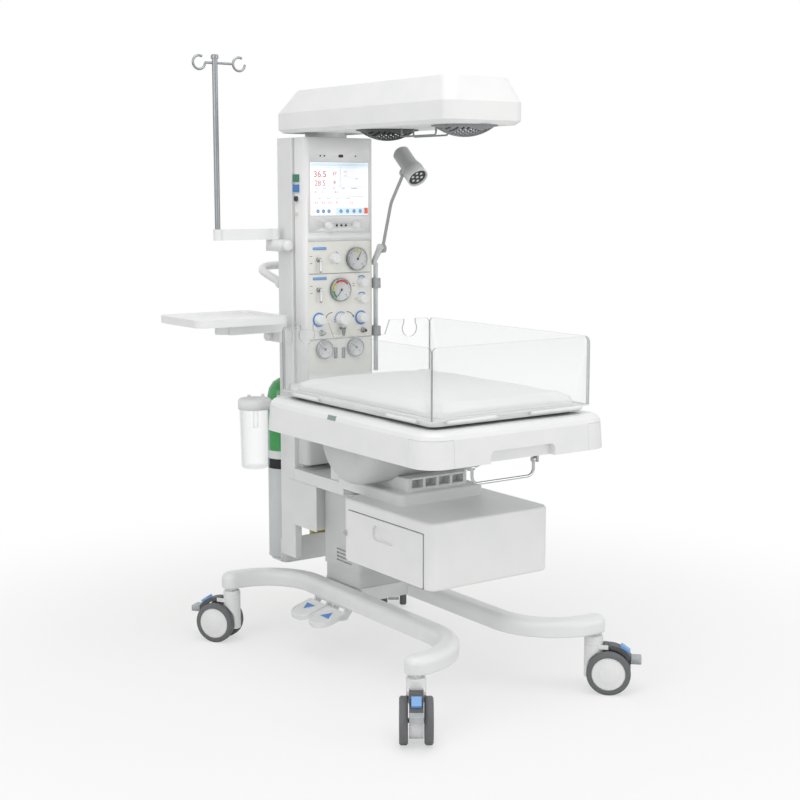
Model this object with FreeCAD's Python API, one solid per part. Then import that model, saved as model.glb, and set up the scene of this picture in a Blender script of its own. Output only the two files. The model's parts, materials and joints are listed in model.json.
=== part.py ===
import FreeCAD, Part
import math
import os

V = FreeCAD.Vector
UP = V(0, 0, 1)

# Infant radiant warmer, in millimetres. X is to the right, the foot end of the bed faces -Y, Z is up.
# The machine is built around x = 0 and moved at the end so that the origin is the bottom centre of its box.

# Fits
RUN_GAP = 0.05
FACE_GAP = 0.3
SEAM = 0.6

# Casters
FLOOR_Z = 14.0
WHEEL_R = 60.0
AXLE_Z = FLOOR_Z + WHEEL_R
WHEEL_W = 22.0
WHEEL_GAP = 41.0
HUB_R = 46.0
AXLE_R = 6.0
TRAIL = 42.0
STEM_R = 8.0
STEM_DEPTH = 36.0
HOUSING_R = 25.5
WHEEL_CLEAR = 3.0
COLLAR_DROP = 25.0
BRAKE_PIN_R = 3.0
BRAKE_GAP = 2.0
BRAKE_T = 12.0
CASTER_TURNS = {"front_left": -125.1, "front_right": -43.8, "back_left": 124.2, "back_right": 54.9}
CASTER_SIDES = {"front_left": (-1, -1), "front_right": (1, -1), "back_left": (-1, 1), "back_right": (1, 1)}

# Legs and base
LEG_X = 112.0
LEG_W = 60.0
LEG_BOTTOM = 181.0
LEG_TOP = 228.0
LEG_TOP_R = 20.0
LEG_BOTTOM_R = 6.0
LEG_STRAIGHT = 303.0
LEG_ARC_R = 176.0
BEAM_HALF_Y = 96.0
CASTER_X = 299.0
CASTER_Y = LEG_STRAIGHT + LEG_ARC_R

# Foot pedals
PEDAL_Y = {"down": 228.0, "up": 130.0}
PEDAL_PIN_X = -(LEG_X + LEG_W / 2 + 10.0)
PEDAL_PIN_Z = 153.0
PEDAL_PIN_R = 5.0
PEDAL_W = 92.0
PEDAL_REACH = 78.0
PEDAL_HEEL = 12.0
PEDAL_RISE = 16.0
PEDAL_RIM = 7.0
PEDAL_END_R = 40.0
PEDAL_SLOPE = 16.0
BARREL_R = 8.5
BARREL_L = 56.0
LUG_T = 8.0

# Lift
LIFT_Y = 188.0
TUBE_HALF_X = 88.0
TUBE_HALF_Y = 91.0
TUBE_TOP = 495.0
TUBE_WALL = 5.0
COLLAR_H = 22.0
RAM_HALF = 60.0
RAM_BOTTOM = 242.0
SLEEVE_GAP = 2.0
SLEEVE_WALL = 3.0
SLEEVE_BOTTOM = 275.0
SLEEVE_TOP = 504.0
LIFT_TRAVEL = 200.0

# Column
COLUMN_X = 122.0
POST_T = 25.0
POST_FRONT = 398.0
POST_BACK = 480.0
POST_BOTTOM = 262.0
COLUMN_TOP = 1525.0
MODULE_X = 120.0
MODULE_FRONT = 325.0
MODULE_BACK = 394.0
MODULE_BOTTOM = 560.0
MODULE_R = 15.0
JACK_Y = 371.0
JACK_Z = 1348.0
JACK_R = 8.0
JACK_BORE = 3.5
JACK_L = 6.0
COVER_BOTTOM = 368.0

# Saddle and tilt bearing
BEAM_TOP = 540.0
PLATFORM_X = 140.0
PLATFORM_FRONT = -190.0
PLATFORM_BACK = 131.0
PLATFORM_BOTTOM = 531.0
PLATFORM_TOP = 562.0
BEARING_X = 103.0
BEARING_FRONT = -165.0
BEARING_TOP = 598.0
BEARING_POCKET = 30.0
CRADLE_GAP = 0.3
CRADLE_BACK = 91.0
BEARING_WINDOWS = (-69.0, -23.0, 23.0, 69.0)
TILT_Y = -37.0
TILT_Z = 710.0

# Cabinet and drawer
CABINET_X = 200.0
CABINET_FRONT = -405.0
CABINET_BACK = 13.5
CABINET_BOTTOM = 351.5
CABINET_R = 28.0
DRAWER_Y0 = -373.0
DRAWER_Y1 = -24.0
DRAWER_Z0 = 356.5
DRAWER_Z1 = 500.0
DRAWER_WALL = 3.0
DRAWER_FRONT_T = 14.0
DRAWER_DEPTH = 375.0
DRAWER_TRAVEL = 280.0
GRIP_Y = -193.0
GRIP_HALF = 50.0
GRIP_Z0 = 440.0
GRIP_Z1 = 482.0
GRIP_R = 14.0
GRIP_DEPTH = 6.0
LOCK_Y = -7.0
LOCK_Z = 432.0
LOCK_R = 6.5

# Bed
BED_MID_Y = -123.5
SKIRT_BOTTOM = 698.0
SKIRT_TOP = 788.0
SKIRT_LOW = (303.0, -529.0, 281.0)
SKIRT_HIGH = (298.0, -524.0, 276.0)
SKIRT_R = 62.0
SKIRT_EDGE_R = 20.0
SKIRT_WALL = 4.0
SCOOP_X = 106.0
SCOOP_TOP = 729.0
SCOOP_DEPTH = 20.0
CORNER_REACH = 83.0
DRUM_R = 136.0
DRUM_HALF = 232.0
DRUM_END = 46.0
FLANGE_T = 4.0
DECK_X = 250.0
DECK_Y0 = -475.0
DECK_Y1 = 215.0
DECK_BOTTOM = 795.0
DECK_TOP = 812.0
MATTRESS_X = 236.0
MATTRESS_Y0 = -468.0
MATTRESS_Y1 = 205.0
MATTRESS_H = 25.0

# Clear panels
PANEL_T = 6.0
PANEL_TOP = 992.4
BOX_X = 260.5
BOX_FRONT = -484.0
BOX_BACK = 226.0
HINGE_Z = 805.0
HINGE_R = 5.5
HINGE_PIN_R = 2.5
NOTCH_TOP = 107.0
NOTCH_BOTTOM = 90.0
NOTCH_Z = 950.0
KEYHOLE_X = 180.0
KEYHOLE_R = 26.0
KEYHOLE_NECK = 42.0
KEYHOLE_Z = 964.0

# Bail
BAIL_X = 102.0
BAIL_Y = -447.0
BAIL_TOP = 675.0
BAIL_BOTTOM = 632.0
BAIL_R = 4.0
BAIL_BEND = 20.0
BAIL_PIN_R = 3.0

# Hood
HOOD_Y = 400.0
HOOD_BAND = (127.0, -369.0, 482.0)
HOOD_LIP = (117.0, -359.0, 472.0)
HOOD_ROOF = (103.0, -338.0, 409.0)
HOOD_LIP_Z = 1539.0
HOOD_BAND_Z = 1549.0
HOOD_SHOULDER_Z = 1596.0
HOOD_ROOF_Z = 1660.0
HOOD_R = 30.0
HOOD_WALL = 3.0
TRAY_T = 4.0
NECK_R = 62.0
NECK_PIN_R = 18.0
NECK_PIN_L = 30.0
LAMP_YS = (-275.0, 78.0)
GRILLE_R = 82.0
GRILLE_DROP = 30.0
GRILLE_T = 2.0
SLOT_COUNT = 13
SLOT_PITCH = 11.0
SLOT_W = 6.0
SLOT_L = 58.0

# Control panel
SCREEN_X = 103.0
SCREEN_Z0 = 1298.0
SCREEN_Z1 = 1455.0
PANEL_X = 110.0
PANEL_Z0 = 830.0
PANEL_Z1 = 1224.0
PANEL_RECESS = 6.0
PLATE_T = 4.0
PANEL_FACE = MODULE_FRONT + PANEL_RECESS - PLATE_T
KNOB_PIN_R = 3.0
KNOBS = {
    "knob_suction": (-21.0, 1174.0, 15.0, 23.0),
    "knob_flow_upper": (77.0, 1100.0, 14.0, 22.0),
    "knob_flow_lower": (77.0, 1050.0, 14.0, 22.0),
    "knob_air": (-75.0, 994.0, 15.0, 24.0),
    "knob_mixer": (2.0, 992.0, 17.0, 30.0),
    "knob_oxygen": (74.0, 994.0, 15.0, 24.0),
}
DISPLAY_KNOBS = {"knob_display_left": (-43.0, 1270.0), "knob_display_right": (55.0, 1271.0)}
DISPLAY_KNOB_R = 11.0
DISPLAY_KNOB_L = 14.0
TOGGLES = {"toggle_upper": (-75.0, 1170.0), "toggle_lower": (-75.0, 1082.0)}
TOGGLE_NUT_R = 7.0
TOGGLE_NUT_L = 8.0
TOGGLE_HUB_R = 4.2
TOGGLE_L = 38.0
GAUGES = ((57.0, 1170.0, 35.0), (-1.0, 1080.0, 35.0), (-59.0, 905.0, 28.0), (51.0, 905.0, 28.0))
GAUGE_DEPTH = 13.0

# Side equipment
HANDLE_R = 12.5
HANDLE_X = 110.0
HANDLE_START = V(0, POST_BACK, 1095.0)
HANDLE_GRIP = V(0, 650.0, 1140.0)
HANDLE_BEND = 75.0
CYLINDER_X = 74.0
CYLINDER_Y = 540.0
CYLINDER_R = 50.0
CYLINDER_BOTTOM = 235.0
CYLINDER_TOP = 803.0
JAR_X = -222.0
JAR_Y = 458.0
JAR_R = 46.0
JAR_BOTTOM = 546.0
LID_Z = 725.0
LID_TOP = 756.0
LID_R = 50.0
IV_PIVOT = (-148.0, 450.0)
IV_CLAMP_Z0 = 1194.0
IV_CLAMP_Z1 = 1228.0
IV_ARM_T = 14.0
IV_ARM_H = 32.0
IV_PIN_R = 5.0
IV_POLE_X = -340.0
IV_POLE_R = 8.0
IV_POLE_TOP = 1743.0
HOOK_R = 19.0
HOOK_WIRE_R = 3.5
SHELF_X = -332.0
SHELF_Y = 435.0
SHELF_W = 300.0
SHELF_D = 260.0
SHELF_R = 30.0
SHELF_Z0 = 990.0
SHELF_Z1 = 1012.0
SHELF_RIM = 12.0
SHELF_FLOOR = 6.0
SHELF_PIN_R = 8.0
SHELF_CLAMP_Z0 = 925.0
SHELF_CLAMP_Z1 = 957.0
SHELF_ARM_Y = 417.0
LAMP_X = 134.0
LAMP_POST_Y = 331.0
LAMP_POST_R = 7.0
ELBOW_Y = 298.0
ELBOW_Z = 1200.0
LAMP_BEND = (253.0, 1336.0)
LAMP_JOINT = (188.0, 1423.0)
LAMP_ROD_R = 4.8
LAMP_PIN_R = 4.0
HEAD_BACK = (205.0, 1483.0)
HEAD_RIM = (117.0, 1407.0)
HEAD_BACK_R = 25.0
HEAD_RIM_R = 31.0


# Forms

def block(x0, x1, y0, y1, z0, z1):
    return Part.makeBox(x1 - x0, y1 - y0, z1 - z0, V(x0, y0, z0))


def outline(x0, x1, y0, y1, radius, z):
    """Level rectangle with rounded corners, as a closed wire."""
    mid = radius * (1 - math.sqrt(0.5))
    edges = []
    corners = ((x1, y0, -1, 1), (x1, y1, -1, -1), (x0, y1, 1, -1), (x0, y0, 1, 1))
    ends = []
    for x, y, sx, sy in corners:
        along = (V(x + sx * radius, y, z), V(x, y + sy * radius, z))
        first, last = along if sx * sy < 0 else along[::-1]
        ends.append((first, V(x + sx * mid, y + sy * mid, z), last))
    for here, after in zip(ends, ends[1:] + ends[:1]):
        edges.append(Part.Arc(*here).toShape())
        if here[2].distanceToPoint(after[0]) > 1e-6:
            edges.append(Part.makeLine(here[2], after[0]))
    return Part.Wire(edges)


def plate(x0, x1, y0, y1, z0, z1, radius):
    """Upright prism over a rounded rectangle."""
    return Part.Face(outline(x0, x1, y0, y1, radius, z0)).extrude(V(0, 0, z1 - z0))


def lofted(sections):
    """Solid through rounded rectangles, each given as half width, front, back, corner radius and height."""
    wires = [outline(-half, half, front, back, radius, z) for half, front, back, radius, z in sections]
    return Part.makeLoft(wires, True, True)


def polygon(points):
    return Part.makePolygon([V(*p) for p in points] + [V(*points[0])])


def prism(points, push):
    return Part.Face(polygon(points)).extrude(push)


def lathe(profile, angle=360):
    """Solid turned about Z from (radius, height) points."""
    face = Part.Face(polygon([(r, 0, z) for r, z in profile]))
    return face.revolve(V(0, 0, 0), UP, angle)


def ring(outer, inner, z0, z1):
    return lathe([(inner, z0), (outer, z0), (outer, z1), (inner, z1)])


def rod(radius, start, end):
    return Part.makeCylinder(radius, start.distanceToPoint(end), start, end - start)


def bent_rod(points, bend, radius):
    """Round bar along a line whose inner corners are bent to one radius."""
    pieces = []
    start = points[0]
    for before, corner, after in zip(points, points[1:], points[2:]):
        back = (before - corner).normalize()
        ahead = (after - corner).normalize()
        half = back.getAngle(ahead) / 2
        reach = bend / math.tan(half)
        hub = corner + (back + ahead).normalize() * (bend / math.sin(half))
        bend_start = corner + back * reach
        pieces.append(rod(radius, start, bend_start))
        section = Part.Face(Part.Wire(Part.makeCircle(radius, bend_start, back)))
        pieces.append(section.revolve(hub, back.cross(ahead), 2 * math.degrees(half) - 180))
        start = corner + ahead * reach
    pieces.append(rod(radius, start, points[-1]))
    return fused(pieces[0], *pieces[1:])


def whole(shape):
    """The single solid of a result, or the result itself when it has several."""
    return shape.Solids[0] if len(shape.Solids) == 1 else shape


def fused(first, *others):
    return whole(first.fuse(list(others)).removeSplitter())


def cut(first, *others):
    return whole(first.cut(list(others)))


def moved(shape, x=0.0, y=0.0, z=0.0):
    copy = shape.copy()
    copy.translate(V(x, y, z))
    return copy


def turned(shape, axis, angle, centre=V(0, 0, 0)):
    copy = shape.copy()
    copy.rotate(centre, axis, angle)
    return copy


def mirrored(shape):
    """The same piece on the other side of the middle plane."""
    return shape.mirror(V(0, 0, 0), V(1, 0, 0))


def rounded(shape, radius, chosen):
    """Fillet on the edges that the given test picks."""
    return whole(shape.makeFillet(radius, [edge for edge in shape.Edges if chosen(edge)]))


def facing_front(shape, x, y, z):
    """Stand a piece that was made upright at the origin out of a front face."""
    return moved(turned(shape, V(1, 0, 0), 90), x, y, z)


def front_plate(x, z, width, height, radius, back, depth):
    flat = plate(-width / 2, width / 2, -height / 2, height / 2, 0, depth, radius)
    return facing_front(flat, x, back, z)


def front_disc(x, z, radius, back, depth):
    return facing_front(Part.makeCylinder(radius, depth), x, back, z)


# Base

def leg():
    """One bowed leg tube: straight middle, a quarter bend outward at each end, round end over the caster."""
    half = LEG_W / 2
    low = outline(-half, half, LEG_BOTTOM, LEG_TOP, LEG_BOTTOM_R, 0)
    profile = Part.Face(low).extrude(V(0, 0, 2 * LEG_STRAIGHT))
    bar = moved(turned(profile, V(1, 0, 0), 90), LEG_X, LEG_STRAIGHT, 0)
    bar = rounded(cut(bar, block(LEG_X - half, LEG_X + half, -LEG_STRAIGHT, LEG_STRAIGHT,
                                 LEG_TOP - LEG_TOP_R, LEG_TOP)).fuse(
        block(LEG_X - half, LEG_X + half, -LEG_STRAIGHT, LEG_STRAIGHT, LEG_TOP - LEG_TOP_R, LEG_TOP)
    ).removeSplitter(), LEG_TOP_R, lambda e: on_top_side(e, half))
    section = bar.slice(V(0, 1, 0), 0.0)[0]
    face = Part.Face(section)
    pieces = [bar]
    for end in (-1, 1):
        start = moved(face, y=end * LEG_STRAIGHT)
        bend_x = LEG_X + LEG_ARC_R
        hub = V(bend_x, end * LEG_STRAIGHT, 0)
        pieces.append(start.revolve(hub, UP, -90 * end))
        tip = turned(start, UP, -90 * end, hub)
        pieces.append(tip.extrude(V(CASTER_X - bend_x, 0, 0)))
        tip = moved(tip, x=CASTER_X - bend_x)
        inner = tip.common(block(CASTER_X - 1, CASTER_X + 1, end * CASTER_Y - half - 1, end * CASTER_Y,
                                 LEG_BOTTOM - 1, LEG_TOP + 1))
        pieces.append(inner.revolve(V(CASTER_X, end * CASTER_Y, 0), UP, 180))
    body = fused(pieces[0], *pieces[1:])
    for end in (-1, 1):
        socket = Part.makeCylinder(STEM_R + RUN_GAP, STEM_DEPTH + FACE_GAP, V(CASTER_X, end * CASTER_Y, LEG_BOTTOM))
        body = cut(body, socket)
    return body


def on_top_side(edge, half):
    """True for the two long upper edges of the leg bar."""
    box = edge.BoundBox
    at_side = abs(abs(box.Center.x - LEG_X) - half) < 1e-3
    return at_side and box.YLength > LEG_STRAIGHT and abs(box.Center.z - LEG_TOP) < 1e-3


def base_frame():
    """Crossbeam under the lift and the bracket that carries the foot pedals."""
    inner = LEG_X - LEG_W / 2
    beam = block(-inner, inner, LIFT_Y - BEAM_HALF_Y, LIFT_Y + BEAM_HALF_Y, LEG_BOTTOM + LEG_BOTTOM_R, LEG_TOP)
    for side in (-1, 1):
        beam = cut(beam, block(side * inner / 2 - 22, side * inner / 2 + 22, LIFT_Y - BEAM_HALF_Y + 18,
                               LIFT_Y + BEAM_HALF_Y - 18, LEG_BOTTOM, LEG_BOTTOM + 30))
    face = -(LEG_X + LEG_W / 2)
    low = PEDAL_Y["up"] - BARREL_L / 2 - LUG_T
    high = PEDAL_Y["down"] + BARREL_L / 2 + LUG_T
    back = block(face + 6, face + 34, low, high, LEG_BOTTOM - 6, LEG_BOTTOM)
    pieces = [rod(PEDAL_PIN_R, V(PEDAL_PIN_X, low, PEDAL_PIN_Z), V(PEDAL_PIN_X, high, PEDAL_PIN_Z))]
    bottom, top = PEDAL_PIN_Z - BARREL_R, PEDAL_PIN_Z + BARREL_R
    for y in PEDAL_Y.values():
        for y0 in (y - BARREL_L / 2 - LUG_T, y + BARREL_L / 2):
            web = prism([(PEDAL_PIN_X, y0, bottom), (PEDAL_PIN_X, y0, top), (face + 2, y0, top),
                         (face + 6, y0, LEG_BOTTOM), (face + 34, y0, LEG_BOTTOM), (face + 34, y0, LEG_BOTTOM - 6),
                         (face + 10, y0, bottom)], V(0, LUG_T, 0))
            end = rod(BARREL_R, V(PEDAL_PIN_X, y0, PEDAL_PIN_Z), V(PEDAL_PIN_X, y0 + LUG_T, PEDAL_PIN_Z))
            pieces += [web, end]
    return [beam, fused(back, *pieces)]


def foot_pedal(y):
    """Thick paddle with a rounded end and a raised rim, over a barrel that turns on the bracket's rod."""
    half = PEDAL_W / 2
    outer = PEDAL_PIN_X - PEDAL_REACH
    inner = PEDAL_PIN_X + PEDAL_HEEL
    top = PEDAL_PIN_Z + PEDAL_RISE
    pad = plate(outer, inner, y - half, y + half, PEDAL_PIN_Z, top, PEDAL_END_R)
    pad = fused(pad, block(PEDAL_PIN_X - 20, inner, y - half, y + half, PEDAL_PIN_Z, top))
    pad = rounded(pad, 3, lambda e: e.BoundBox.ZLength < 1e-3 and e.BoundBox.ZMin > top - 1)
    rim = PEDAL_RIM
    dish = plate(outer + rim, inner - rim, y - half + rim, y + half - rim, top - 1.5, top, PEDAL_END_R - rim)
    under = PEDAL_PIN_Z + BARREL_R + 1
    room = block(PEDAL_PIN_X - 12, inner + 1, y - half - 1, y + half + 1, PEDAL_PIN_Z - 1, under)
    length = BARREL_L - 2 * FACE_GAP
    y0 = y - length / 2
    barrel = rod(BARREL_R, V(PEDAL_PIN_X, y0, PEDAL_PIN_Z), V(PEDAL_PIN_X, y0 + length, PEDAL_PIN_Z))
    neck = block(PEDAL_PIN_X - 13, PEDAL_PIN_X + 4, y0, y0 + length, PEDAL_PIN_Z, under + 1)
    bore = rod(PEDAL_PIN_R + RUN_GAP, V(PEDAL_PIN_X, y0, PEDAL_PIN_Z), V(PEDAL_PIN_X, y0 + length, PEDAL_PIN_Z))
    flat = cut(fused(cut(pad, dish, room), barrel, neck), bore)
    return turned(flat, V(0, -1, 0), PEDAL_SLOPE, V(PEDAL_PIN_X, 0, PEDAL_PIN_Z))


def arc_band(inner, outer, half_width, start, end):
    """Curved band about the wheel axle, between two angles from the trailing side."""
    face = Part.Face(polygon([(inner, -half_width, 0), (outer, -half_width, 0),
                              (outer, half_width, 0), (inner, half_width, 0)]))
    band = turned(face, V(0, 1, 0), -start).revolve(V(0, 0, 0), V(0, -1, 0), end - start)
    return moved(band, TRAIL, 0, AXLE_Z)


def caster_fork():
    """Swivel fork made upright at the origin, wheels trailing to +X."""
    web_half = WHEEL_GAP / 2 - 3
    overall = WHEEL_GAP / 2 + WHEEL_W
    web = rod(HUB_R - 2, V(TRAIL, -web_half, AXLE_Z), V(TRAIL, web_half, AXLE_Z))
    top = LEG_BOTTOM - 9
    seam = top - COLLAR_DROP
    housing = lathe([(0, AXLE_Z - 18), (HOUSING_R, AXLE_Z - 18), (HOUSING_R, seam - 1), (HOUSING_R - 1.5, seam),
                     (HOUSING_R, seam + 1), (HOUSING_R, top - 3), (HOUSING_R - 3, top), (0, top)])
    wells = []
    for side in (-1, 1):
        y0, y1 = sorted((side * web_half, side * (HOUSING_R + 1)))
        wells.append(rod(WHEEL_R + WHEEL_CLEAR, V(TRAIL, y0, AXLE_Z), V(TRAIL, y1, AXLE_Z)))
    nut_r = 14.0
    nut = prism([(nut_r * math.cos(math.radians(60 * i)), nut_r * math.sin(math.radians(60 * i)), top)
                 for i in range(6)], V(0, 0, LEG_BOTTOM - FACE_GAP - top))
    stem = Part.makeCylinder(STEM_R, STEM_DEPTH + 9, V(0, 0, top))
    axle = rod(AXLE_R, V(TRAIL, -overall, AXLE_Z), V(TRAIL, overall, AXLE_Z))
    pieces = [cut(housing, *wells), nut, stem, axle]
    pivot = brake_pivot()
    for side in (-1, 1):
        y0, y1 = sorted((side * (web_half + FACE_GAP), side * (web_half + 5)))
        pieces.append(block(14, pivot.x + 6, y0, y1, pivot.z - 5, pivot.z + 6))
    pieces.append(rod(BRAKE_PIN_R, V(pivot.x, -web_half - 4, pivot.z), V(pivot.x, web_half + 4, pivot.z)))
    return fused(web, *pieces)


def brake_pivot():
    return V(TRAIL - 8, 0, AXLE_Z + WHEEL_R + 8)


def caster_wheels():
    """Twin wheels on one axle: tyres and hubs."""
    tyre_half = WHEEL_W / 2
    shoulder = 4.0
    tyre = lathe([(HUB_R, -tyre_half), (WHEEL_R - shoulder, -tyre_half), (WHEEL_R, -tyre_half + shoulder),
                  (WHEEL_R, tyre_half - shoulder), (WHEEL_R - shoulder, tyre_half), (HUB_R, tyre_half)])
    bore = AXLE_R + RUN_GAP
    hub = lathe([(bore, -tyre_half + 1), (HUB_R, -tyre_half + 1), (HUB_R, tyre_half - 2), (HUB_R - 4, tyre_half - 1),
                 (HUB_R - 18, tyre_half - 1), (HUB_R - 22, tyre_half + 1), (bore, tyre_half + 1)])
    wheels = []
    for side in (-1, 1):
        for piece in (tyre, hub):
            wheel = turned(piece, V(1, 0, 0), -90 * side)
            wheels.append(moved(wheel, TRAIL, side * (WHEEL_GAP + WHEEL_W) / 2, AXLE_Z))
    return wheels


def caster_brake():
    """Arched brake lever between the wheels, with its tread and the release tab."""
    pivot = brake_pivot()
    half = WHEEL_GAP / 2 - 3.0
    inner = WHEEL_R + BRAKE_GAP
    arch = arc_band(inner, inner + BRAKE_T, half, 22, 92)
    hub = rod(BRAKE_PIN_R + 4, V(pivot.x, -half, pivot.z), V(pivot.x, half, pivot.z))
    tread = moved(block(56, 88, -half, half, 24, 42), TRAIL, 0, AXLE_Z)
    tread = tread.cut(rod(inner, V(TRAIL, -half, AXLE_Z), V(TRAIL, half, AXLE_Z)))
    tread = rounded(whole(tread), 3, lambda e: e.BoundBox.YLength > half and e.BoundBox.XMax > TRAIL + 87)
    bore = rod(BRAKE_PIN_R + RUN_GAP, V(pivot.x, -half, pivot.z), V(pivot.x, half, pivot.z))
    lever = cut(fused(arch, hub, tread), bore)
    seat = inner + BRAKE_T - 2
    width = half - 5
    tab, room = [moved(turned(block(seat, seat + 9, -width - more, width + more, -14 - more, 14 + more), V(0, 1, 0), -55),
                       TRAIL, 0, AXLE_Z) for more in (0, 0.5)]
    return [cut(lever, room), tab]


# Lift and saddle

def lift_outer_tube():
    tube = plate(-TUBE_HALF_X, TUBE_HALF_X, LIFT_Y - TUBE_HALF_Y, LIFT_Y + TUBE_HALF_Y, LEG_TOP, TUBE_TOP, 12)
    inner_x = TUBE_HALF_X - TUBE_WALL
    inner_y = TUBE_HALF_Y - TUBE_WALL
    hollow = plate(-inner_x, inner_x, LIFT_Y - inner_y, LIFT_Y + inner_y, LEG_TOP + 6, TUBE_TOP - COLLAR_H, 7)
    half = RAM_HALF + RUN_GAP
    way = plate(-half, half, LIFT_Y - half, LIFT_Y + half, TUBE_TOP - COLLAR_H, TUBE_TOP, 8 + RUN_GAP)
    return cut(tube, hollow, way)


def lift_sleeve():
    """Cover sleeve over the outer tube, with the ram inside it and the vent slots low on the left."""
    half_x = TUBE_HALF_X + SLEEVE_GAP
    half_y = TUBE_HALF_Y + SLEEVE_GAP
    wall = SLEEVE_WALL
    cover = plate(-half_x - wall, half_x + wall, LIFT_Y - half_y - wall, LIFT_Y + half_y + wall,
                  SLEEVE_BOTTOM, SLEEVE_TOP, 17)
    inside = plate(-half_x, half_x, LIFT_Y - half_y, LIFT_Y + half_y, SLEEVE_BOTTOM, SLEEVE_TOP - 5, 14)
    ram = plate(-RAM_HALF, RAM_HALF, LIFT_Y - RAM_HALF, LIFT_Y + RAM_HALF, RAM_BOTTOM, SLEEVE_TOP, 8)
    slots = [block(-half_x - wall - 1, -half_x + 1, LIFT_Y - 60, LIFT_Y + 20, SLEEVE_BOTTOM + 18 + 11 * i,
                   SLEEVE_BOTTOM + 23 + 11 * i) for i in range(4)]
    return fused(cut(cover, inside, *slots), ram)


def saddle_frame():
    """Rear beam on the lift, platform under the bed, and the cradle in which the drum of the bed rocks."""
    inner = COLUMN_X - POST_T
    rear = block(-COLUMN_X, COLUMN_X, PLATFORM_BACK - 6, POST_FRONT - 1, SLEEVE_TOP, BEAM_TOP)
    tail = block(-inner, inner, POST_FRONT - 2, POST_BACK - 4, SLEEVE_TOP, BEAM_TOP)
    platform = plate(-PLATFORM_X, PLATFORM_X, PLATFORM_FRONT, PLATFORM_BACK, PLATFORM_BOTTOM, PLATFORM_TOP, 14)
    platform = rounded(platform, 8, lambda e: abs(e.BoundBox.ZMax - PLATFORM_TOP) < 1e-3 and e.BoundBox.ZLength < 1)
    raised = plate(-BEARING_X - 12, BEARING_X + 12, PLATFORM_BACK - 8, PLATFORM_BACK + 80, BEAM_TOP, BEAM_TOP + 40, 10)
    frame = fused(rear, tail, platform, raised)
    body = plate(-BEARING_X, BEARING_X, BEARING_FRONT, CRADLE_BACK, PLATFORM_TOP, BEARING_TOP, 8)
    room = rod(DRUM_R + CRADLE_GAP, V(-PLATFORM_X, TILT_Y, TILT_Z), V(PLATFORM_X, TILT_Y, TILT_Z))
    windows = [block(x - 19, x + 19, BEARING_FRONT - 1, BEARING_FRONT + BEARING_POCKET, PLATFORM_TOP + 8,
                     BEARING_TOP - 5) for x in BEARING_WINDOWS]
    return [frame, cut(body, room, *windows)]


# Storage

def storage_cabinet():
    body = plate(-CABINET_X, CABINET_X, CABINET_FRONT, CABINET_BACK, CABINET_BOTTOM, PLATFORM_BOTTOM, CABINET_R)
    body = rounded(body, 9, lambda e: e.BoundBox.ZLength < 1e-3)
    inside = block(-CABINET_X, CABINET_X - 12, DRAWER_Y0, DRAWER_Y1, DRAWER_Z0, DRAWER_Z1)
    lock = rod(LOCK_R + RUN_GAP, V(-CABINET_X - 1, LOCK_Y, LOCK_Z), V(-CABINET_X + 14, LOCK_Y, LOCK_Z))
    return cut(body, inside, lock)


def drawer():
    """Drawer with a thick front, a rounded grip recess and an open box behind it."""
    gap = SEAM
    y0, y1 = DRAWER_Y0 + gap, DRAWER_Y1 - gap
    z0, z1 = DRAWER_Z0 + FACE_GAP, DRAWER_Z1 - gap
    front = block(-CABINET_X - 3, -CABINET_X + DRAWER_FRONT_T, y0, y1, z0, z1)
    front = rounded(front, 5, lambda e: e.BoundBox.XLength > 5)
    box_x = -CABINET_X + DRAWER_FRONT_T
    box = block(box_x - 1, box_x + DRAWER_DEPTH - DRAWER_FRONT_T, y0 + 3, y1 - 3, z0, z1 - 12)
    wall = DRAWER_WALL
    inside = block(box_x, box_x + DRAWER_DEPTH - DRAWER_FRONT_T - wall, y0 + 3 + wall, y1 - 3 - wall, z0 + wall, z1)
    inside = inside.cut(front)
    recess = plate(GRIP_Z0, GRIP_Z1, GRIP_Y - GRIP_HALF, GRIP_Y + GRIP_HALF, 0, GRIP_DEPTH + 4, GRIP_R)
    recess = moved(turned(recess, V(0, 1, 0), -90), -CABINET_X + GRIP_DEPTH)
    return cut(fused(front, box), inside, recess)


def drawer_lock():
    body = lathe([(0, 0), (LOCK_R, 0), (LOCK_R, 14), (LOCK_R + 1.5, 14), (LOCK_R + 1.5, 17), (0, 17)])
    slot = block(-0.8, 0.8, -4, 4, 15, 18)
    return moved(turned(cut(body, slot), V(0, 1, 0), -90), -CABINET_X + 13.7, LOCK_Y, LOCK_Z)


# Column

def column_posts():
    post = plate(COLUMN_X - POST_T, COLUMN_X, POST_FRONT, POST_BACK, POST_BOTTOM, COLUMN_TOP, 3)
    return [post, mirrored(post), column_cover()]


def column_cover():
    """Cover between the lift sleeve and the posts, with a cheek on each side."""
    front = LIFT_Y + TUBE_HALF_Y + SLEEVE_GAP + SLEEVE_WALL + 2
    body = plate(-COLUMN_X, COLUMN_X, front, POST_FRONT, COVER_BOTTOM, SLEEVE_TOP, 3.5)
    cheek = block(COLUMN_X, COLUMN_X + 3, front - 16, POST_FRONT + 38, COVER_BOTTOM, SLEEVE_TOP)
    return fused(body, cheek, mirrored(cheek))


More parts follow.
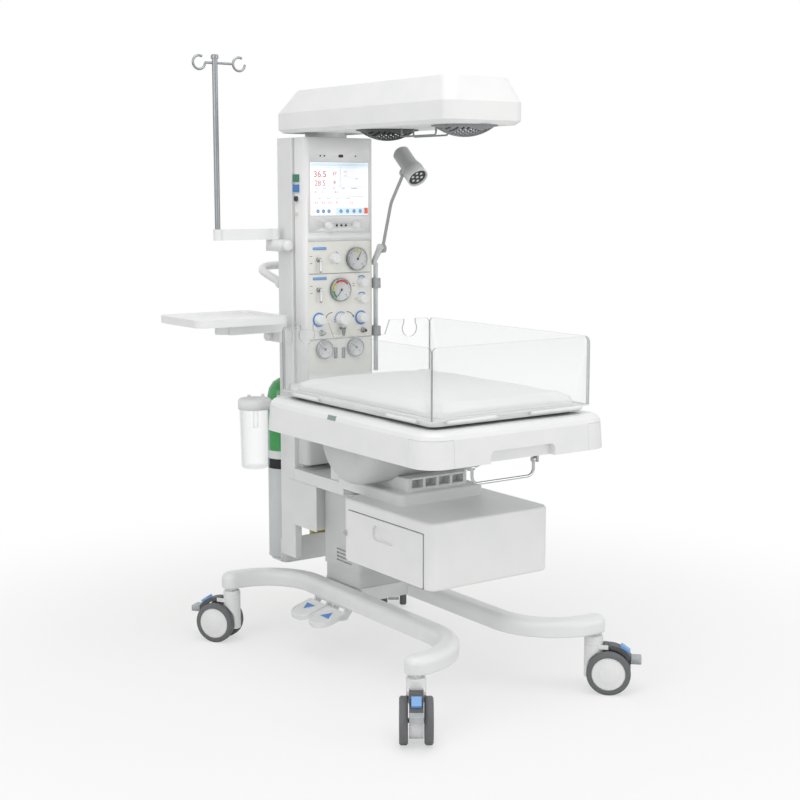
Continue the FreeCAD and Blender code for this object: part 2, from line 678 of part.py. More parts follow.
def control_housing():
    """Column body between the posts, with the screen and gas panel recesses, and the probe jack on its side."""
    module = plate(-MODULE_X, MODULE_X, MODULE_FRONT, MODULE_BACK, MODULE_BOTTOM, COLUMN_TOP, MODULE_R)
    inner = COLUMN_X - POST_T
    core = block(-inner, inner, MODULE_BACK - 1, POST_BACK - 10, BEAM_TOP, COLUMN_TOP)
    shallow = 20.0
    lower = [block(side * MODULE_X - 30, side * MODULE_X + 30, MODULE_BACK - shallow, MODULE_BACK, MODULE_BOTTOM, 790)
             for side in (-1, 1)]
    lower = [piece.cut(block(-inner, inner, MODULE_FRONT, POST_BACK, MODULE_BOTTOM, 790)) for piece in lower]
    screen = block(-SCREEN_X, SCREEN_X, MODULE_FRONT, MODULE_FRONT + 4, SCREEN_Z0, SCREEN_Z1)
    panel = block(-PANEL_X, PANEL_X, MODULE_FRONT, MODULE_FRONT + PANEL_RECESS, PANEL_Z0, PANEL_Z1)
    seam = block(-MODULE_X, MODULE_X, MODULE_FRONT, MODULE_FRONT + 1, 1249.5, 1250.5)
    bores = [front_disc(x, z, KNOB_PIN_R + RUN_GAP, MODULE_FRONT + 8, 8) for x, z in DISPLAY_KNOBS.values()]
    neck = Part.makeCylinder(NECK_PIN_R + RUN_GAP, NECK_PIN_L + 1, V(0, HOOD_Y, COLUMN_TOP - NECK_PIN_L - 1))
    jack = turned(ring(JACK_R, JACK_BORE, 0, JACK_L), V(0, 1, 0), -90)
    return [cut(fused(module, core), screen, panel, seam, neck, *lower, *bores), moved(jack, -MODULE_X, JACK_Y, JACK_Z)]


def display_screen():
    width = 2 * (SCREEN_X - FACE_GAP)
    height = SCREEN_Z1 - SCREEN_Z0 - 2 * FACE_GAP
    return front_plate(0, (SCREEN_Z0 + SCREEN_Z1) / 2, width, height, 2, MODULE_FRONT + 4, 3.4)


def gas_panel():
    width = 2 * (PANEL_X - FACE_GAP)
    height = PANEL_Z1 - PANEL_Z0 - 2 * FACE_GAP
    sheet = front_plate(0, (PANEL_Z0 + PANEL_Z1) / 2, width, height, 3, MODULE_FRONT + PANEL_RECESS, PLATE_T)
    bores = [front_disc(x, z, KNOB_PIN_R + RUN_GAP, MODULE_FRONT + PANEL_RECESS, PLATE_T)
             for x, z, _, _ in KNOBS.values()]
    return cut(sheet, *bores)


def knob(x, z, radius, length, face):
    """Fluted knob on a short pin that turns in the panel."""
    body = lathe([(0, FACE_GAP), (radius + 1, FACE_GAP), (radius + 1, 4), (radius, 5), (radius - 1, length - 2),
                  (radius - 3, length), (0, length)])
    pin = Part.makeCylinder(KNOB_PIN_R, PLATE_T - 0.4 + FACE_GAP + 1, V(0, 0, -(PLATE_T - 0.4)))
    flutes = []
    for i in range(8):
        angle = math.radians(45 * i + 22.5)
        reach = radius + 1.2
        flutes.append(Part.makeCylinder(2.6, length, V(reach * math.cos(angle), reach * math.sin(angle), 5)))
    return facing_front(cut(fused(body, pin), *flutes), x, face, z)


def toggle(x, z):
    """Flip lever that hangs from its nut."""
    y = PANEL_FACE - TOGGLE_NUT_L - FACE_GAP - TOGGLE_HUB_R
    hub = rod(TOGGLE_HUB_R, V(x - 4, y, z), V(x + 4, y, z))
    arm = lathe([(0, 0), (2.6, 0), (4.2, TOGGLE_L - 6), (4.2, TOGGLE_L - 2), (2.2, TOGGLE_L), (0, TOGGLE_L)])
    return fused(hub, moved(turned(arm, V(1, 0, 0), 180), x, y, z))


def gauge(x, z, radius):
    """Round gauge with a raised bezel round a sunk dial."""
    depth = GAUGE_DEPTH
    body = lathe([(0, 0), (radius, 0), (radius, depth - 2), (radius - 1.5, depth), (radius - 3.5, depth),
                  (radius - 4, depth - 3), (0, depth - 3)])
    return facing_front(body, x, PANEL_FACE, z)


def panel_fittings():
    """Small fixed pieces on the front and on the left side of the column."""
    face = PANEL_FACE
    pieces = [front_plate(-71, z, 47, 8, 2, face, 1.5) for z in (1203, 1115)]
    pieces += [front_plate(0, z, 2 * PANEL_X - 6, 2, 0.9, face, 1) for z in (1129, 935)]
    pieces += [facing_front(ring(r + 6, r + 1.5, 0, 1), x, face, z)
               for x, z, r, _ in [KNOBS[n] for n in ("knob_air", "knob_mixer", "knob_oxygen")]]
    pieces += [front_disc(x, z, TOGGLE_NUT_R, face, TOGGLE_NUT_L) for x, z in TOGGLES.values()]
    pieces += [front_plate(x, z, 10, 33, 2, face, 4) for x, z in ((-18, 892), (10, 891))]
    port = lathe([(0, 0), (8, 0), (8, 4), (5, 5), (5, 11), (6, 12), (5, 16), (0, 16)])
    pieces += [facing_front(port, x, face, z) for x, z in ((-66, 953), (81, 955))]
    spout = lathe([(0, 0), (4, 0), (6.5, 22), (9, 24), (9, 27), (0, 27)])
    arm = block(-2.0, 6.0, face - 16, face, 962, 969)
    pieces.append(fused(arm, moved(spout, 2, face - 16, 942)))
    pieces += [front_disc(x, 1270, 3, MODULE_FRONT, 3) for x in (-12, 4, 20)]
    pieces += [front_disc(x, 1472, r, MODULE_FRONT, 1) for x, r in ((-67, 2.5), (-53, 2.5), (56, 2))]
    pieces.append(front_plate(4, 1472, 16, 8, 2, MODULE_FRONT, 1))
    side = -MODULE_X
    pieces += [block(side - 2, side, 356, 391, z, z + 22) for z in (1397, 1367.5)]
    pieces.append(moved(turned(lathe([(0, 0), (9, 0), (9, 3), (0, 3)]), V(0, 1, 0), -90), side, 373, 1309))
    return pieces


# Hood

def hood_section(sizes, inset, z):
    half, front, back = sizes
    return (half - inset, front + inset, back - inset, HOOD_R - inset, z)


def hood_shell():
    levels = ((HOOD_LIP, HOOD_LIP_Z), (HOOD_BAND, HOOD_BAND_Z), (HOOD_BAND, HOOD_SHOULDER_Z), (HOOD_ROOF, HOOD_ROOF_Z))
    outer = lofted([hood_section(sizes, 0, z) for sizes, z in levels])
    inner = lofted([hood_section(sizes, HOOD_WALL, z - (HOOD_WALL if sizes is HOOD_ROOF else 0))
                    for sizes, z in levels])
    return cut(outer, inner)


def hood_tray():
    """Under-tray with lamp holes, reflectors over them, and the swivel neck with its pin."""
    half, front, back = HOOD_LIP
    inset = HOOD_WALL + FACE_GAP
    sheet = plate(-half + inset, half - inset, front + inset, back - inset, HOOD_LIP_Z, HOOD_LIP_Z + TRAY_T,
                  HOOD_R - inset)
    pieces = [lathe([(0, -NECK_PIN_L), (NECK_PIN_R, -NECK_PIN_L), (NECK_PIN_R, FACE_GAP), (NECK_R, FACE_GAP),
                     (NECK_R, HOOD_LIP_Z - COLUMN_TOP), (0, HOOD_LIP_Z - COLUMN_TOP)])]
    pieces = [moved(pieces[0], 0, HOOD_Y, COLUMN_TOP)]
    for y in LAMP_YS:
        sheet = cut(sheet, Part.makeCylinder(GRILLE_R - 4, TRAY_T, V(0, y, HOOD_LIP_Z)))
        bowl = lathe([(GRILLE_R - 4, 0), (GRILLE_R - 2, 0), (40, 50), (0, 50), (0, 48.5), (39, 48.5)])
        pieces.append(moved(bowl, 0, y, HOOD_LIP_Z + TRAY_T))
    return fused(sheet, *pieces)


def lamp_grille(y):
    """Domed guard with two rows of slots under each lamp, and the heater bar behind it."""
    sphere_r = (GRILLE_R ** 2 + GRILLE_DROP ** 2) / (2 * GRILLE_DROP)
    centre = HOOD_LIP_Z - FACE_GAP - GRILLE_DROP + sphere_r
    keep = Part.makeCylinder(GRILLE_R, GRILLE_DROP + 1, V(0, 0, HOOD_LIP_Z - FACE_GAP - GRILLE_DROP - 1))
    dome = Part.makeSphere(sphere_r, V(0, 0, centre)).cut(Part.makeSphere(sphere_r - GRILLE_T, V(0, 0, centre)))
    dome = dome.common(keep)
    rim = ring(GRILLE_R + 5, GRILLE_R - 4, HOOD_LIP_Z - FACE_GAP - 2.5, HOOD_LIP_Z - FACE_GAP)
    slots = []
    for i in range(SLOT_COUNT):
        x = (i - (SLOT_COUNT - 1) / 2) * SLOT_PITCH
        room = math.sqrt((GRILLE_R - 10) ** 2 - x ** 2)
        length = min(SLOT_L, room - 6)
        for side in (-1, 1):
            y0, y1 = sorted((side * 5, side * (5 + length)))
            slots.append(block(x - SLOT_W / 2, x + SLOT_W / 2, y0, y1, HOOD_LIP_Z - GRILLE_DROP - 3, HOOD_LIP_Z - 3))
    return moved(cut(fused(dome, rim), *slots), y=y)


def lamp_grilles():
    pieces = [lamp_grille(y) for y in LAMP_YS]
    front, rear = LAMP_YS[0] + GRILLE_R + 16, LAMP_YS[1] - GRILLE_R - 16
    for x in (-20, 20):
        pieces.append(bent_rod([V(x, front, HOOD_LIP_Z), V(x, front, HOOD_LIP_Z - 22), V(x, rear, HOOD_LIP_Z - 22),
                                V(x, rear, HOOD_LIP_Z)], 8, 2.5))
    return pieces


# Bed

def skirt_section(t, inset):
    """Section of the skirt at the share t of its height, drawn in by a wall."""
    low, high = SKIRT_LOW, SKIRT_HIGH
    half, front, back = [a + (b - a) * t for a, b in zip(low, high)]
    z = SKIRT_BOTTOM + (SKIRT_TOP - SKIRT_BOTTOM) * t
    return (half - inset, front + inset, back - inset, SKIRT_R - inset, z)


def bed_skirt():
    """Deep skirt with a well rounded top edge, split into a middle piece and four corner mouldings."""
    span = SKIRT_TOP - SKIRT_BOTTOM
    levels = [skirt_section(0, 0)]
    for turn in (0, 30, 60, 90):
        angle = math.radians(turn)
        rise = SKIRT_EDGE_R * (1 - math.sin(angle))
        half, front, back, radius, z = skirt_section(1 - rise / span, 0)
        inset = SKIRT_EDGE_R * (1 - math.cos(angle))
        levels.append((half - inset, front + inset, back - inset, radius - inset, z))
    outer = fused(lofted(levels[:2]), *[lofted(pair) for pair in zip(levels[1:], levels[2:])])
    shoulder = 1 - SKIRT_EDGE_R / span
    roof = 1 - SKIRT_WALL / span
    lower = lofted([skirt_section(0, SKIRT_WALL), skirt_section(shoulder, SKIRT_WALL)])
    upper = lofted([skirt_section(shoulder, SKIRT_WALL), skirt_section(roof, SKIRT_EDGE_R)])
    front = SKIRT_LOW[1]
    behind = block(-SCOOP_X - 6, SCOOP_X + 6, front + SKIRT_WALL - 1, front + SCOOP_DEPTH + SKIRT_WALL,
                   SKIRT_BOTTOM, SCOOP_TOP + 8)
    scoop = plate(-SCOOP_X, SCOOP_X, 0, 2 * (SCOOP_TOP - SKIRT_BOTTOM), 0, SCOOP_DEPTH + 10, 14)
    scoop = moved(turned(scoop, V(1, 0, 0), 90), 0, front + SCOOP_DEPTH, 2 * SKIRT_BOTTOM - SCOOP_TOP)
    shell = cut(fused(cut(outer, lower, upper), behind), scoop)
    pieces = []
    seam_top = SKIRT_TOP - SKIRT_EDGE_R
    for side_x in (-1, 1):
        for end, y in ((1, SKIRT_LOW[1]), (-1, SKIRT_LOW[2])):
            x0, x1 = sorted((side_x * (SKIRT_LOW[0] - CORNER_REACH), side_x * (SKIRT_LOW[0] + 5)))
            y0, y1 = sorted((y - 5 * end, y + CORNER_REACH * end))
            zone = block(x0, x1, y0, y1, SKIRT_BOTTOM - 1, seam_top)
            x0, x1 = sorted((side_x * (SKIRT_LOW[0] - CORNER_REACH - SEAM), side_x * (SKIRT_LOW[0] + 6)))
            y0, y1 = sorted((y - 6 * end, y + (CORNER_REACH + SEAM) * end))
            pieces.append(whole(shell.common(zone)))
            shell = cut(shell, block(x0, x1, y0, y1, SKIRT_BOTTOM - 1, seam_top + SEAM))
    return [shell] + pieces


def tilt_bowl():
    """Closing plate of the skirt with the half drum under it that rocks in the cradle, and the ears of the bail."""
    rim = SKIRT_BOTTOM
    drum = rod(DRUM_R, V(-DRUM_HALF, TILT_Y, TILT_Z), V(DRUM_HALF, TILT_Y, TILT_Z))
    drum = rounded(drum, DRUM_END, lambda e: e.BoundBox.XLength < 1e-3)
    drum = cut(drum, block(-DRUM_HALF - 1, DRUM_HALF + 1, TILT_Y - DRUM_R - 1, TILT_Y + DRUM_R + 1,
                           rim + 1, TILT_Z + DRUM_R + 1))
    half, front, back = SKIRT_LOW
    inset = SKIRT_WALL + FACE_GAP
    flange = lofted([(half - inset, front + inset, back - inset, SKIRT_R - inset, rim),
                     (half - inset, front + inset, back - inset, SKIRT_R - inset, rim + FLANGE_T)])
    reach = SCOOP_DEPTH + SKIRT_WALL + FACE_GAP
    flange = cut(flange, block(-SCOOP_X - 7, SCOOP_X + 7, front, front + reach, rim, rim + FLANGE_T))
    mounts = []
    for side in (-1, 1):
        x0, x1 = sorted((side * (BAIL_X + 6), side * (BAIL_X + 11)))
        ear = block(x0, x1, BAIL_Y - 9, BAIL_Y + 9, BAIL_TOP - 7, rim + 1)
        pin = rod(BAIL_PIN_R, V(side * (BAIL_X - 5), BAIL_Y, BAIL_TOP), V(side * (BAIL_X + 8), BAIL_Y, BAIL_TOP))
        mounts += [ear, pin]
    return fused(drum, flange, *mounts)


def bail():
    corners = [V(-BAIL_X, BAIL_Y, BAIL_TOP), V(-BAIL_X, BAIL_Y, BAIL_BOTTOM), V(BAIL_X, BAIL_Y, BAIL_BOTTOM),
               V(BAIL_X, BAIL_Y, BAIL_TOP)]
    bar = bent_rod(corners, BAIL_BEND, BAIL_R)
    eyes = [rod(BAIL_R + 3, V(s * BAIL_X - 5, BAIL_Y, BAIL_TOP), V(s * BAIL_X + 5, BAIL_Y, BAIL_TOP)) for s in (-1, 1)]
    bores = [rod(BAIL_PIN_R + RUN_GAP, V(s * BAIL_X - 6, BAIL_Y, BAIL_TOP), V(s * BAIL_X + 6, BAIL_Y, BAIL_TOP))
             for s in (-1, 1)]
    return cut(fused(bar, *eyes), *bores)


SIDE_HINGES = ((-420.0, -300.0), (40.0, 160.0))
FRONT_HINGES = ((-205.0, -55.0), (65.0, 230.0))
EAR_T = 5.0


def bed_deck():
    """Mattress deck on its riser, with hinge ears and pins for the folding panels and guides for the rear one."""
    riser = plate(-DECK_X + 22, DECK_X - 22, DECK_Y0 + 22, DECK_Y1 - 10, SKIRT_TOP, DECK_BOTTOM + 1, 14)
    deck = plate(-DECK_X, DECK_X, DECK_Y0, DECK_Y1, DECK_BOTTOM, DECK_TOP, 22)
    axis_x = BOX_X - PANEL_T / 2
    axis_y = BOX_FRONT + PANEL_T / 2
    pieces = [deck]
    for side in (-1, 1):
        x0, x1 = sorted((side * (DECK_X - 1), side * axis_x))
        for y0, y1 in SIDE_HINGES:
            for start in (y0 - EAR_T, y1):
                pieces.append(block(x0, x1, start, start + EAR_T, HINGE_Z - HINGE_R, HINGE_Z + HINGE_R - 0.5))
                pieces.append(rod(HINGE_R, V(side * axis_x, start, HINGE_Z), V(side * axis_x, start + EAR_T, HINGE_Z)))
            pieces.append(rod(HINGE_PIN_R, V(side * axis_x, y0 - 1, HINGE_Z), V(side * axis_x, y1 + 1, HINGE_Z)))
    for x0, x1 in FRONT_HINGES:
        for start in (x0 - EAR_T, x1):
            pieces.append(block(start, start + EAR_T, axis_y, DECK_Y0 + 1, HINGE_Z - HINGE_R, HINGE_Z + HINGE_R - 0.5))
            pieces.append(rod(HINGE_R, V(start, axis_y, HINGE_Z), V(start + EAR_T, axis_y, HINGE_Z)))
        pieces.append(rod(HINGE_PIN_R, V(x0 - 1, axis_y, HINGE_Z), V(x1 + 1, axis_y, HINGE_Z)))
    for x in (-225.0, -60.0, 60.0, 225.0):
        guide = block(x - 14, x + 14, DECK_Y1 - 1, BOX_BACK + 4, DECK_BOTTOM, DECK_TOP + 14)
        slot = block(x - 14, x + 14, BOX_BACK - PANEL_T - FACE_GAP, BOX_BACK + FACE_GAP, DECK_BOTTOM + 5, DECK_TOP + 14)
        head = block(x - 14, x + 14, DECK_Y1 - 1, BOX_BACK - PANEL_T - 5, DECK_TOP, DECK_TOP + 14)
        pieces.append(cut(guide, slot, head))
    return fused(riser, *pieces)


def mattress():
    pad = plate(-MATTRESS_X, MATTRESS_X, MATTRESS_Y0, MATTRESS_Y1, DECK_TOP, DECK_TOP + MATTRESS_H, 26)
    return rounded(pad, 7, lambda e: e.BoundBox.ZLength < 1e-3 and e.BoundBox.ZMin > DECK_TOP + 1)


def knuckles(spans, point):
    """Hinge barrels with their bores along one edge."""
    made = []
    for start, end in spans:
        a, b = point(start + FACE_GAP), point(end - FACE_GAP)
        made.append(cut(rod(HINGE_R, a, b), rod(HINGE_PIN_R + RUN_GAP, a, b)))
    return made


def side_panel():
    """Right-hand clear panel with its two hinge barrels."""
    bottom = HINGE_Z + HINGE_R - 2
    sheet = plate(BOX_FRONT, BOX_BACK, bottom, PANEL_TOP, 0, PANEL_T, 18)
    square = block(BOX_FRONT, BOX_BACK, bottom, bottom + 40, 0, PANEL_T)
    sheet = fused(sheet, square)
    sheet = turned(turned(sheet, V(1, 0, 0), 90), UP, 90)
    sheet = moved(sheet, BOX_X - PANEL_T, 0, 0)
    axis_x = BOX_X - PANEL_T / 2
    barrels = knuckles(SIDE_HINGES, lambda y: V(axis_x, y, HINGE_Z))
    gaps = [block(BOX_X - PANEL_T, BOX_X, y0 - EAR_T - FACE_GAP, y0 + FACE_GAP, bottom, HINGE_Z + HINGE_R + FACE_GAP)
            for y0, _ in SIDE_HINGES]
    gaps += [block(BOX_X - PANEL_T, BOX_X, y1 - FACE_GAP, y1 + EAR_T + FACE_GAP, bottom, HINGE_Z + HINGE_R + FACE_GAP)
             for _, y1 in SIDE_HINGES]
    pins = [rod(HINGE_PIN_R + RUN_GAP, V(axis_x, y0, HINGE_Z), V(axis_x, y1, HINGE_Z)) for y0, y1 in SIDE_HINGES]
    return cut(fused(cut(sheet, *gaps), *barrels), *pins)


def front_panel():
    """Clear foot-end panel between the side panels."""
    bottom = HINGE_Z + HINGE_R - 2
    half = BOX_X - PANEL_T - FACE_GAP
    sheet = plate(-half, half, bottom, PANEL_TOP, 0, PANEL_T, 14)
    sheet = fused(sheet, block(-half, half, bottom, bottom + 40, 0, PANEL_T))
    sheet = moved(turned(sheet, V(1, 0, 0), 90), 0, BOX_FRONT + PANEL_T, 0)
    axis_y = BOX_FRONT + PANEL_T / 2
    barrels = knuckles(FRONT_HINGES, lambda x: V(x, axis_y, HINGE_Z))
    gaps = []
    for x0, x1 in FRONT_HINGES:
        for start in (x0 - EAR_T, x1):
            gaps.append(block(start - FACE_GAP, start + EAR_T + FACE_GAP, BOX_FRONT, BOX_FRONT + PANEL_T, bottom,
                              HINGE_Z + HINGE_R + FACE_GAP))
    pins = [rod(HINGE_PIN_R + RUN_GAP, V(x0, axis_y, HINGE_Z), V(x1, axis_y, HINGE_Z)) for x0, x1 in FRONT_HINGES]
    return cut(fused(cut(sheet, *gaps), *barrels), *pins)


def back_panel():
    """Clear head-end panel with the tube notch and a keyhole on each side."""
    bottom = DECK_BOTTOM + 5 + FACE_GAP
    half = BOX_X - PANEL_T - FACE_GAP
    sheet = plate(-half, half, bottom, PANEL_TOP, 0, PANEL_T, 18)
    notch = prism([(-NOTCH_TOP, PANEL_TOP + 1, 0), (NOTCH_TOP, PANEL_TOP + 1, 0), (NOTCH_BOTTOM, NOTCH_Z, 0),
                   (-NOTCH_BOTTOM, NOTCH_Z, 0)], V(0, 0, PANEL_T))
    holes = [notch]
    for side in (-1, 1):
        x = side * KEYHOLE_X
        holes.append(Part.makeCylinder(KEYHOLE_R, PANEL_T, V(x, KEYHOLE_Z, 0)))
        holes.append(block(x - KEYHOLE_NECK / 2, x + KEYHOLE_NECK / 2, KEYHOLE_Z, PANEL_TOP + 1, 0, PANEL_T))
    sheet = cut(sheet, *holes)
    return moved(turned(sheet, V(1, 0, 0), 90), 0, BOX_BACK, 0)


# Side equipment

def push_handle():
    rise = [V(HANDLE_X, HANDLE_START.y, HANDLE_START.z), V(HANDLE_X, HANDLE_GRIP.y, HANDLE_GRIP.z),
            V(-HANDLE_X, HANDLE_GRIP.y, HANDLE_GRIP.z), V(-HANDLE_X, HANDLE_START.y, HANDLE_START.z)]
    bar = bent_rod(rise, HANDLE_BEND, HANDLE_R)
    start = HANDLE_START
    feet = []
    for side in (-1, 1):
        foot = Part.makeCylinder(HANDLE_R + 3, 14, V(side * HANDLE_X, start.y, start.z), V(0, 1, 0))
        feet.append(foot)
    return cut(fused(bar, *feet), block(-200, 200, start.y - 40, start.y, start.z - 40, start.z + 40))


def gas_cylinders():
    """Two cylinders in a cradle behind the column, with a strap round each."""
    low, high, r = CYLINDER_BOTTOM, CYLINDER_TOP, CYLINDER_R
    bottle = lathe([(0, low), (r - 6, low), (r + 1, low + 5), (r, low + 14), (r, high - 60), (r - 5, high - 36),
                    (r - 18, high - 16), (16, high - 6), (0, high)])
    pieces = [moved(bottle, side * CYLINDER_X, CYLINDER_Y) for side in (-1, 1)]
    width = CYLINDER_X + r - 14
    tray = plate(-width, width, POST_BACK, CYLINDER_Y + r - 16, low - 8, low, 20)
    riser = block(-COLUMN_X, COLUMN_X, POST_BACK, POST_BACK + 6, low - 2, low + 70)
    pieces.append(fused(tray, riser))
    z = 702.0
    band = ring(r + 2.5, r, z, z + 30)
    for side in (-1, 1):
        lug = block(-12, 12, POST_BACK - CYLINDER_Y, -r + 1, z, z + 30).cut(Part.makeCylinder(r, 100, V(0, 0, z - 10)))
        pieces.append(moved(fused(band, lug), side * CYLINDER_X, CYLINDER_Y))
    return pieces


def suction_unit():
    """Jar with lid on a bracket, and the small bottle beside it."""
    r = JAR_R
    jar = lathe([(0, JAR_BOTTOM), (r - 8, JAR_BOTTOM), (r - 4, JAR_BOTTOM + 4), (r, LID_Z), (r - 3, LID_Z),
                 (r - 7, JAR_BOTTOM + 6), (r - 10, JAR_BOTTOM + 3), (0, JAR_BOTTOM + 3)])
    lid = lathe([(0, LID_Z), (LID_R, LID_Z), (LID_R, LID_TOP - 6), (LID_R - 5, LID_TOP), (0, LID_TOP)])
    spouts = [Part.makeCylinder(5, 14, V(x, y, LID_TOP - 1)) for x, y in ((-24, -8), (20, -14))]
    lid = fused(lid, *spouts)
    float_tube = Part.makeCylinder(8, 60, V(6, 6, LID_Z - 60))
    pieces = [moved(piece, JAR_X, JAR_Y) for piece in (jar, lid, float_tube)]
    near = -COLUMN_X
    arm = block(JAR_X, near, JAR_Y - 16, JAR_Y + 16, LID_Z + 3, LID_Z + 19)
    arm = cut(arm, Part.makeCylinder(LID_R, 60, V(JAR_X, JAR_Y, LID_Z - 5)))
    shoe = block(near - 12, near, POST_FRONT + 20, POST_BACK - 2, LID_Z - 14, LID_TOP)
    pieces.append(fused(arm, shoe))
    bottle = lathe([(0, 0), (14, 0), (15, 3), (15, 44), (8, 52), (8, 58), (0, 58)])
    pieces.append(moved(bottle, near - 15, POST_FRONT + 30, LID_Z - 14 - 58))
    return pieces


def rail_clamps():
    """IV clamp on the left post and the exam lamp's post on the right of the module."""
    px, py = IV_PIVOT
    body = plate(px - 14, -COLUMN_X, POST_FRONT + 2, POST_BACK + 6, IV_CLAMP_Z0, IV_CLAMP_Z1, 5)
    pin = Part.makeCylinder(IV_PIN_R, IV_ARM_H - 2, V(px, py, IV_CLAMP_Z1 - 1))
    grip = lathe([(0, 0), (5, 0), (5, 8), (14, 9), (15, 12), (15, 20), (12, 23), (0, 23)])
    grip = moved(turned(grip, V(1, 0, 0), 90), px + 4, POST_FRONT + 2, (IV_CLAMP_Z0 + IV_CLAMP_Z1) / 2)
    clamp = fused(body, pin, grip)
    side = MODULE_X
    post = Part.makeCylinder(LAMP_POST_R, ELBOW_Z - 44 - 829, V(LAMP_X - 3, LAMP_POST_Y, 829))
    jaws = [cut(plate(side, LAMP_X + 9, LAMP_POST_Y - 12, LAMP_POST_Y + 24, z, z + 30, 4), post) for z in (935, 1080)]
    outer = LAMP_X - 5 - FACE_GAP
    inner = outer - 8
    ring_edges = [Part.Arc(V(inner, ELBOW_Y - 14, ELBOW_Z), V(inner, ELBOW_Y, ELBOW_Z + 14),
                           V(inner, ELBOW_Y + 14, ELBOW_Z)).toShape(),
                  Part.makeLine(V(inner, ELBOW_Y + 14, ELBOW_Z), V(inner, LAMP_POST_Y + 9, ELBOW_Z - 40)),
                  Part.Arc(V(inner, LAMP_POST_Y + 9, ELBOW_Z - 40), V(inner, LAMP_POST_Y, ELBOW_Z - 50),
                           V(inner, LAMP_POST_Y - 9, ELBOW_Z - 40)).toShape(),
                  Part.makeLine(V(inner, LAMP_POST_Y - 9, ELBOW_Z - 40), V(inner, ELBOW_Y - 14, ELBOW_Z))]
    tear = Part.Face(Part.Wire(ring_edges)).extrude(V(outer - inner, 0, 0))
    pivot = rod(LAMP_PIN_R, V(outer - 1, ELBOW_Y, ELBOW_Z), V(LAMP_X + 4, ELBOW_Y, ELBOW_Z))
    return [clamp, fused(post, tear, pivot)] + jaws


def lamp_arm():
    x = LAMP_X
    hub = rod(13, V(x - 5, ELBOW_Y, ELBOW_Z), V(x + 6, ELBOW_Y, ELBOW_Z))
    points = [V(x, ELBOW_Y, ELBOW_Z), V(x, LAMP_BEND[0], LAMP_BEND[1]), V(x, LAMP_JOINT[0], LAMP_JOINT[1])]
    bar = bent_rod(points, 60, LAMP_ROD_R)
    eye = rod(9, V(x - 5, *LAMP_JOINT), V(x + 5, *LAMP_JOINT))
    bores = [rod(LAMP_PIN_R + RUN_GAP, V(x - 6, ELBOW_Y, ELBOW_Z), V(x + 4.5, ELBOW_Y, ELBOW_Z)),
             rod(LAMP_PIN_R + RUN_GAP, V(x - 6, *LAMP_JOINT), V(x + 6, *LAMP_JOINT))]
    return cut(fused(hub, bar, eye), *bores)


def lamp_head():
    """Bell-shaped lamp head in a clevis at the end of the arm."""
    back = V(LAMP_X, *HEAD_BACK)
    rim = V(LAMP_X, *HEAD_RIM)
    length = back.distanceToPoint(rim)
    body = lathe([(0, 0), (HEAD_BACK_R - 4, 0), (HEAD_BACK_R, 5), (HEAD_BACK_R, length * 0.5), (HEAD_RIM_R, length * 0.72),
                  (HEAD_RIM_R, length), (HEAD_RIM_R - 3, length), (HEAD_RIM_R - 4, length - 5), (0, length - 5)])
    direction = rim - back
    turn = FreeCAD.Rotation(UP, direction)
    body.Placement = FreeCAD.Placement(back, turn)
    joint = V(LAMP_X, *LAMP_JOINT)
    along = FreeCAD.Vector(direction).normalize()
    foot = back + along * (joint - back).dot(along)
    ears = []
    for side in (-1, 1):
        x0, x1 = sorted((side * (5 + FACE_GAP), side * 9.5))
        ears.append(rod(9, joint + V(x0, 0, 0), joint + V(x1, 0, 0)))
        span = foot - joint
        across = along * 8
        web = prism([tuple(joint + V(x0, 0, 0) + across), tuple(joint + V(x0, 0, 0) - across),
                     tuple(joint + V(x0, 0, 0) - across + span * 0.7), tuple(joint + V(x0, 0, 0) + across + span * 0.7)],
                    V(x1 - x0, 0, 0))
        ears.append(web)
    pin = rod(LAMP_PIN_R, joint + V(-8, 0, 0), joint + V(8, 0, 0))
    return fused(body, pin, *ears)


def iv_arm():
    px, py = IV_PIVOT
    z0 = IV_CLAMP_Z1 + FACE_GAP
    z1 = z0 + IV_ARM_H
    bar = block(IV_POLE_X, px, py - IV_ARM_T / 2, py + IV_ARM_T / 2, z0, z1)
    ends = [Part.makeCylinder(13, z1 - z0, V(x, py, z0)) for x in (IV_POLE_X, px)]
    bore = Part.makeCylinder(IV_PIN_R + RUN_GAP, IV_ARM_H - 1, V(px, py, z0))
    socket = Part.makeCylinder(IV_POLE_R, IV_ARM_H - 8, V(IV_POLE_X, py, z0 + 8))
    return cut(fused(bar, *ends), bore, socket)


def iv_pole():
    """Pole with a cap and two pigtail hooks."""
    x, y = IV_POLE_X, IV_PIVOT[1]
    z0 = IV_CLAMP_Z1 + FACE_GAP + 8
    pole = Part.makeCylinder(IV_POLE_R, IV_POLE_TOP - z0, V(x, y, z0))
    cap = moved(lathe([(0, 0), (11, 0), (11, 9), (8, 12), (0, 12)]), x, y, IV_POLE_TOP)
    pieces = [cap]
    for side, reach in ((1, 78.0), (-1, 50.0)):
        tip = x + side * reach
        pieces.append(rod(HOOK_WIRE_R, V(x, y, IV_POLE_TOP - 12), V(tip - side * HOOK_R, y, IV_POLE_TOP - 12)))
        loop = Part.makeTorus(HOOK_R, HOOK_WIRE_R, V(tip, y, IV_POLE_TOP - 12), V(0, 1, 0), 0, 360, 300)
        pieces.append(turned(loop, V(0, 1, 0), 90, V(tip, y, IV_POLE_TOP - 12)))
    return fused(pole, *pieces)


